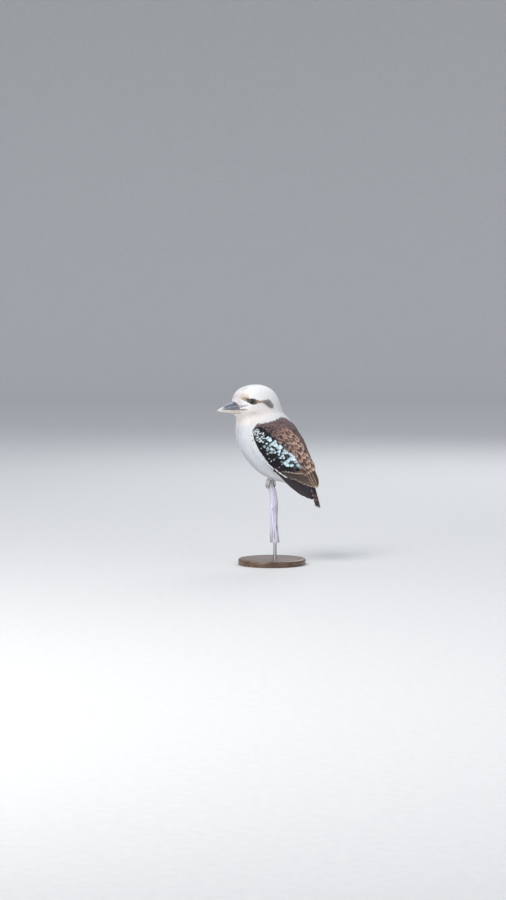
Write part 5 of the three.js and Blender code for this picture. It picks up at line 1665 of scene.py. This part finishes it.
def mantle():
    """Broad feathers of the back between the wings."""
    rng = np.random.default_rng(12)

    def keep(t, a, p):
        return (dark_back(t, a, p) > 0.6) & ~covered(t, a) & (t < 17.5)

    def gap(t, a, p):
        return 4.4 + 1.0 * smooth(13, 16, t) + 0 * a
    t, a = scatter(keep, gap, 41, t_lo=11.0, t_hi=17.6)
    n = len(t)
    p, nn, d = flow(t, a)
    d = turn_in_plane(d, nn, rng.normal(0, 0.07, n))
    length = (13 + 11 * smooth(12.2, 15.5, t)) * rng.uniform(0.9, 1.1, n)
    width = length * 0.52
    tone = rng.uniform(0.84, 1.16, n)
    warm = smooth(13.8, 17.0, t)

    def colour(s, w, top, i):
        c = mix(BACK_TOP, RUFOUS, 0.75 * warm[:, None, None] + 0 * s) * tone[:, None, None, None]
        c = c * (1 - 0.34 * (1 - smooth(0.0, 0.7, np.abs(w))) * smooth(0.3, 0.8, s))[..., None]
        edge = smooth(0.80, 1.0, np.maximum(s + 0.05 * np.abs(w), 0.18 + 0.82 * np.abs(w) * smooth(0.4, 0.75, s)))
        return mix(c * (1 + 0.14 * noise(top, 2.6, 62))[..., None], mix((0.20, 0.13, 0.115), (0.33, 0.22, 0.16), warm[:, None, None] + 0 * s), 0.52 * edge)
    coat = Coat("mantle")
    lay(coat, "body", t, a, d, length, width, colour, [0, 0.14, 0.3, 0.46, 0.62, 0.76, 0.9, 1], np.linspace(-1, 1, 7), vane_outline,
        1.9, 0.35 + 0.5 * rng.random(n), thick=0.28, droop=0.07, power=1.9, tip=[-0.15, -0.05, 0.01, 0.03, 0.01, -0.05, -0.15], ragged=0.016,
        curl=0.2 * rng.normal(0, 1, n))
    return coat


# ---------------------------------------------------------------- perch and stand
PERCH_LINE = [[-2.3, 0, 193.5], [-1.2, 0, 180], [2, 0.5, 166], [4.2, 0.8, 143], [3.8, 0, 113], [5, -0.6, 81], [6.6, 0, 60], [7, 0, 51]]
PERCH_R = [6.2, 7.6, 8.1, 8.5, 8.3, 9, 10.6, 11]


def build_perch(material):
    """A cut length of dead branch, its bark gone and its grain opened by the weather."""
    rows, sides = 420, 160
    t = np.linspace(0, len(PERCH_LINE) - 1, rows)
    c = along(PERCH_LINE, t)
    c[:, 2] = np.interp(t, np.arange(len(PERCH_LINE)), np.array(PERCH_LINE)[:, 2])
    r = along(PERCH_R, t)[:, 0]
    a = np.arange(sides) * 2 * np.pi / sides
    tt = (t / (len(PERCH_LINE) - 1))[:, None]
    k = 1 + 0.05 * np.sin(3 * a[None] + 5 * tt) + 0.03 * np.sin(5 * a[None] - 9 * tt)
    rr = r[:, None] * k
    unitp = np.stack([np.cos(a)[None] * 9 + 0 * tt, np.sin(a)[None] * 9 + 0 * tt, c[:, 2:3] + 0 * a[None]], -1)
    grain = noise(unitp * np.array([1, 1, 0.055]), 0.9, 91)
    furrow = np.clip(noise(unitp * np.array([1, 1, 0.035]), 2.4, 92) - 0.28, 0, 1)
    check = np.clip(noise(unitp * np.array([1, 1, 0.03]), 1.5, 95) - 0.45, 0, 1)
    lumps = noise(unitp, 14.0, 93)
    knot_z, knot_a = 128.0, 4.3
    da = (a[None] - knot_a + np.pi) % (2 * np.pi) - np.pi
    knot = np.exp(-((da * 8.5 / 4.6) ** 2) - (((c[:, 2:3] - knot_z) / 6.0) ** 2))
    eye_ = np.exp(-((da * 8.5 / 1.8) ** 2) - (((c[:, 2:3] - knot_z) / 2.4) ** 2))
    rr = rr + 0.10 * grain - 0.55 * furrow - 0.9 * check + 0.22 * lumps + 1.0 * knot - 1.1 * eye_
    v = np.stack([c[:, 0:1] + np.cos(a)[None] * rr, c[:, 1:2] + np.sin(a)[None] * rr, c[:, 2:3] + 0 * rr], -1)
    # a weathered, slightly splintered upper end
    top_in, top_rows = 9, []
    for j in range(1, top_in + 1):
        f = 1 - j / (top_in + 0.6)
        ring = np.stack([c[0, 0] + np.cos(a) * rr[0] * f, c[0, 1] + np.sin(a) * rr[0] * f, np.full(sides, PERCH_TOP)], -1)
        ring[:, 2] += 0.25 * noise(ring, 1.1, 94) - 0.35 * np.abs(np.sin(f * 26)) * 0.5 - 0.1
        top_rows.append(ring)
    v[0, :, 2] -= 0.25 + 0.2 * noise(v[0], 1.5, 96)
    v[-1, :, 2] = PERCH_CUT
    bottom = []
    for j in range(1, 5):
        f = 1 - j / 4.4
        bottom.append(np.stack([c[-1, 0] + np.cos(a) * rr[-1] * f, c[-1, 1] + np.sin(a) * rr[-1] * f, np.full(sides, PERCH_CUT)], -1))
    rows_all = np.array(top_rows[::-1] + list(v) + bottom)
    n = len(rows_all)
    verts = np.concatenate([rows_all.reshape(-1, 3), [rows_all[0].mean(0), rows_all[-1].mean(0)]])
    j = np.arange(sides)
    f4 = grid_faces(n, sides, flip=True)
    f3 = np.concatenate([np.stack([np.full(sides, n * sides), j, (j + 1) % sides], -1), np.stack([np.full(sides, n * sides + 1), (n - 1) * sides + (j + 1) % sides, (n - 1) * sides + j], -1)])
    dark = 1 - 0.75 * np.clip(furrow * 2.2 + check * 3.5, 0, 1) - 0.45 * eye_
    tint = np.concatenate([np.full((top_in, sides), 0.82), dark, np.full((4, sides), 0.8)])[..., None] * np.array([1.0, 0.985, 1.01])
    cols = np.concatenate([tint.reshape(-1, 3), [[0.7] * 3, [0.7] * 3]])
    ob = make_mesh("perch_wood", verts, [f4, f3], sharp=60)
    put_colour(ob, cols)
    ob.data.materials.append(material)
    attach(ob, "root")
    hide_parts("perch")


def turned_piece(name, profile, x, sides, material, node):
    """A solid of revolution about an upright axis at x."""
    prof = np.array(profile, float)
    a = np.arange(sides) * 2 * np.pi / sides
    r, z = prof[1:-1, 0], prof[1:-1, 1]
    v = np.stack([x + r[:, None] * np.cos(a), r[:, None] * np.sin(a), z[:, None] + 0 * a[None]], -1)
    n = len(v)
    verts = np.concatenate([v.reshape(-1, 3), [[x, 0, prof[0, 1]], [x, 0, prof[-1, 1]]]])
    j = np.arange(sides)
    f3 = np.concatenate([np.stack([np.full(sides, n * sides), (j + 1) % sides, j], -1), np.stack([np.full(sides, n * sides + 1), (n - 1) * sides + j, (n - 1) * sides + (j + 1) % sides], -1)])
    ob = make_mesh(name, verts, [grid_faces(n, sides), f3], sharp=40)
    ob.data.materials.append(material)
    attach(ob, "root")
    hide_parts(node)


def arc_profile(cx, cz, r, a0, a1, n=9):
    return [(cx + r * math.cos(math.radians(a)), cz + r * math.sin(math.radians(a))) for a in np.linspace(a0, a1, n)]


# ---------------------------------------------------------------- build everything
build_skin()
build_eye(-1, "eyeball_left", "eye_left")
build_eye(1, "eyeball_right", "eye_right")
build_bill(True)
build_bill(False)
build_gape(-1, "gape_left")
build_gape(1, "gape_right")
build_claws(-1, "claws_left")
build_claws(1, "claws_right")


def clear_of_face(t, a, p, margin=0.3):
    return ~bill_inside(p, margin) & (eye_gap(p) > 6.3) & (gape_gap(p) > 0.62 + 0.16 * noise(p, 1.2, 15))


def bill_root_feathers(coat):
    """Short feathers that run forward on to the root of the bill."""
    rng = np.random.default_rng(33)
    for upper in (True, False):
        a, end = [], []
        for row in range(5):
            for deg in np.arange(7 + (row % 2) * 1.6, 174, 3.2 if upper else 3.6):
                fold = min(deg, 180 - deg)
                q_end = np.interp(fold, [0, 12, 30, 60, 90], [57.0, 59.5, 64.5, 69.5, 73.5] if upper else [59, 61.5, 65.0, 68.0, 69.5])
                a.append(math.radians(deg + rng.normal(0, 0.7)))
                end.append(q_end - row * 2.0 + rng.normal(0, 0.5))
        a, end = np.array(a), np.array(end)
        fold = np.degrees(np.minimum(a, np.pi - a))
        length = (4.0 + 3.2 * smooth(10, 80, fold)) * rng.uniform(0.9, 1.1, len(a))
        t = np.interp(end - length, BILL[:, 0], np.arange(len(BILL)))
        kind = "bill_top" if upper else "bill_under"
        frame_at, point_at = chart(kind)
        p, e1, e2, n = frame_at(t, a)
        side = (e2 * np.sign(np.cos(a))[:, None])
        d = unit(unit(e1) + 0.12 * rng.normal(0, 1, len(a))[:, None] * unit(e2))
        tip = point_at(np.interp(end, BILL[:, 0], np.arange(len(BILL))), a)
        tone = head_colour(tip + n) * (1 + 0.05 * rng.normal(0, 1, len(a)))[:, None]

        def colour(s, w, top, i):
            # a little darker towards the root: painted shade between the feathers
            return tone[:, None, None] * (0.95 + 0.05 * s)[..., None]
        lay(coat, kind, t, a, d, length, length * 0.34, colour, np.linspace(0, 1, 5), np.linspace(-1, 1, 3), lock_outline,
            0.25, 0.16 + 0.12 * rng.random(len(a)), thick=0.13, droop=0.08, power=1.6, tip=[-0.05, 0.04, -0.05], ragged=0.03)


# head, in three pieces from the face back
def face_keep(t, a, p):
    return clear_of_face(t, a, p) & (coat_length(t, a, p) < 6.2) & (t < 13)


def crown_keep(t, a, p):
    return clear_of_face(t, a, p) & (coat_length(t, a, p) >= 6.2) & (t < 9.0) & (np.cos(a) < 0.35)


def neck_keep(t, a, p):
    return clear_of_face(t, a, p) & (coat_length(t, a, p) >= 6.2) & ~((t < 9.0) & (np.cos(a) < 0.35)) & (t < 13.0) & (dark_back(t, a, p) < 0.55) & ~covered(t, a)


def front_keep(t, a, p):
    return (t >= 13.0) & (dark_back(t, a, p) < 0.55) & ~covered(t, a)


for name, keep, k, seed, rows, wide, shag, spread in (
    ("face_feathers", face_keep, 0.262, 1, 5, 0.46, 0.05, 0.08),
    ("crown_feathers", crown_keep, 0.182, 2, 6, 0.29, 0.08, 0.07),
    ("neck_feathers", neck_keep, 0.166, 3, 6, 0.27, 0.10, 0.08),
    ("breast_feathers_left", lambda t, a, p: front_keep(t, a, p) & (np.sin(a) < 0), 0.112, 4, 6, 0.215, 0.12, 0.09),
    ("breast_feathers_right", lambda t, a, p: front_keep(t, a, p) & (np.sin(a) >= 0), 0.112, 5, 6, 0.215, 0.12, 0.09),
):
    def spacing(t, a, p, k=k):
        return np.maximum(0.78, k * coat_length(t, a, p))
    t, a = scatter(keep, spacing, seed)
    coat = Coat(name)
    body_coat(coat, t, a, rows=rows, cols=3, wide=wide, shag=shag, spread=spread, thick=0.12)
    if name == "face_feathers":
        bill_root_feathers(coat)
    coat.make(soft_white, "white_plumage")

for side in (-1, 1):
    flank_feathers(side, np.random.default_rng(200 + side)).make(soft_white, "white_plumage")
mantle().make(vane_dark, "brown_plumage")
tail_coverts().make(vane_dark, "brown_plumage")
build_tail().make(tail_mat, "tail_plumage")
for side in (-1, 1):
    rng = np.random.default_rng(100 + side)
    flight_feathers(side, rng).make(vane_dark, "brown_plumage")
    wing_coverts(side, rng).make(vane_dark, "brown_plumage")
    wing_streaks(side, rng).make(vane_dark, "brown_plumage")
    scapulars(side, rng).make(vane_dark, "brown_plumage")

build_perch(weathered_wood())
r = BASE_R
turned_piece("stand_base_turned", [(0, 0), (40, 0), (r - 1.6, 0)] + arc_profile(r - 1.6, 1.6, 1.6, -80, 0, 6) + [(r, 6.0)] + arc_profile(r - 4.2, BASE_H - 4.2, 4.2, 0, 84, 10)
             + [(r - 9, BASE_H), (r - 9.6, BASE_H - 0.7), (r - 10.8, BASE_H - 0.7), (r - 11.4, BASE_H), (40, BASE_H), (12, BASE_H), (0, BASE_H)], 0.0, 256, stand_wood(), "stand_base")
turned_piece("stand_rod_steel", [(0, BASE_H + 0.02), (ROD_R, BASE_H + 0.02), (ROD_R, BASE_H + 0.6), (ROD_R - 0.1, 24), (ROD_R - 0.1, 40), (ROD_R, PERCH_CUT - 0.3), (0, PERCH_CUT - 0.3)], ROD_X, 96, stand_metal(), "stand_rod")


# ---------------------------------------------------------------- floor, light and camera
def studio():
    prof = [(0.0, 0.0), (1.0, 0.0), (3.0, 0.0), (6.0, 0.0), (7.5, 0.0)]
    prof += [(7.5 + 2.5 * math.sin(math.radians(k)), 2.5 - 2.5 * math.cos(math.radians(k))) for k in range(9, 91, 9)]
    prof += [(10.0, 5.0)]
    a = np.arange(128) * 2 * np.pi / 128
    v = [np.stack([r_ * np.cos(a), r_ * np.sin(a), np.full(128, z)], -1) for r_, z in prof[1:]]
    v = np.concatenate([np.array(v).reshape(-1, 3), [[0, 0, 0]]]) / MM
    n = len(prof) - 1
    j = np.arange(128)
    ob = make_mesh("studio_floor", v, [grid_faces(n, 128, flip=True), np.stack([np.full(128, n * 128), j, (j + 1) % 128], -1)])
    m = Nodes("studio_floor")
    grain = m.noise(m.place(), 60.0, 4.0)
    m.set(m.bsdf.inputs["Base Color"], m.ramp(grain, [(0.3, (0.50, 0.50, 0.50)), (0.7, (0.53, 0.53, 0.525))]))
    m.bsdf.inputs["Roughness"].default_value = 0.9
    m.bsdf.inputs["Specular IOR Level"].default_value = 0.1
    ob.data.materials.append(m.mat)


def area_light(name, at, target, size, power, colour=(1, 1, 1)):
    data = bpy.data.lights.new(name, "AREA")
    data.shape, data.size, data.energy, data.color = "DISK", size, power, colour
    ob = bpy.data.objects.new(name, data)
    scene.collection.objects.link(ob)
    ob.location = at
    ob.rotation_mode = "QUATERNION"
    ob.rotation_quaternion = (Vector(target) - Vector(at)).to_track_quat("-Z", "Y")


studio()
area_light("main", (-1.45, -2.2, 3.1), (0, 0, 0.28), 1.8, 112, (1.0, 0.985, 0.955))
area_light("fill", (2.4, -3.0, 1.2), (0, 0, 0.25), 2.8, 30, (0.96, 0.975, 1.0))
area_light("front", (-2.0, -2.8, 0.85), (0, 0, 0.28), 1.8, 43, (1.0, 0.985, 0.965))
area_light("back", (1.0, 3.0, 2.4), (0, 0, 0.3), 2.4, 50, (0.97, 0.98, 1.0))
world = bpy.data.worlds.new("studio")
scene.world = world
world.use_nodes = True
world.node_tree.nodes["Background"].inputs["Color"].default_value = (0.86, 0.91, 1.0, 1)
world.node_tree.nodes["Background"].inputs["Strength"].default_value = 0.92
scene.view_settings.view_transform = "Standard"

aim = Vector((-0.0437, 0.0, 0.2645))
elev = math.radians(4.0)
cam_data = bpy.data.cameras.new("camera")
cam_data.lens, cam_data.sensor_width, cam_data.clip_end = 104.3, 36.0, 60.0
cam = bpy.data.objects.new("camera", cam_data)
scene.collection.objects.link(cam)
cam.location = aim + Vector((0, -math.cos(elev), math.sin(elev))) * 6.0
cam.rotation_mode = "QUATERNION"
cam.rotation_quaternion = (aim - cam.location).to_track_quat("-Z", "Y")
scene.camera = cam
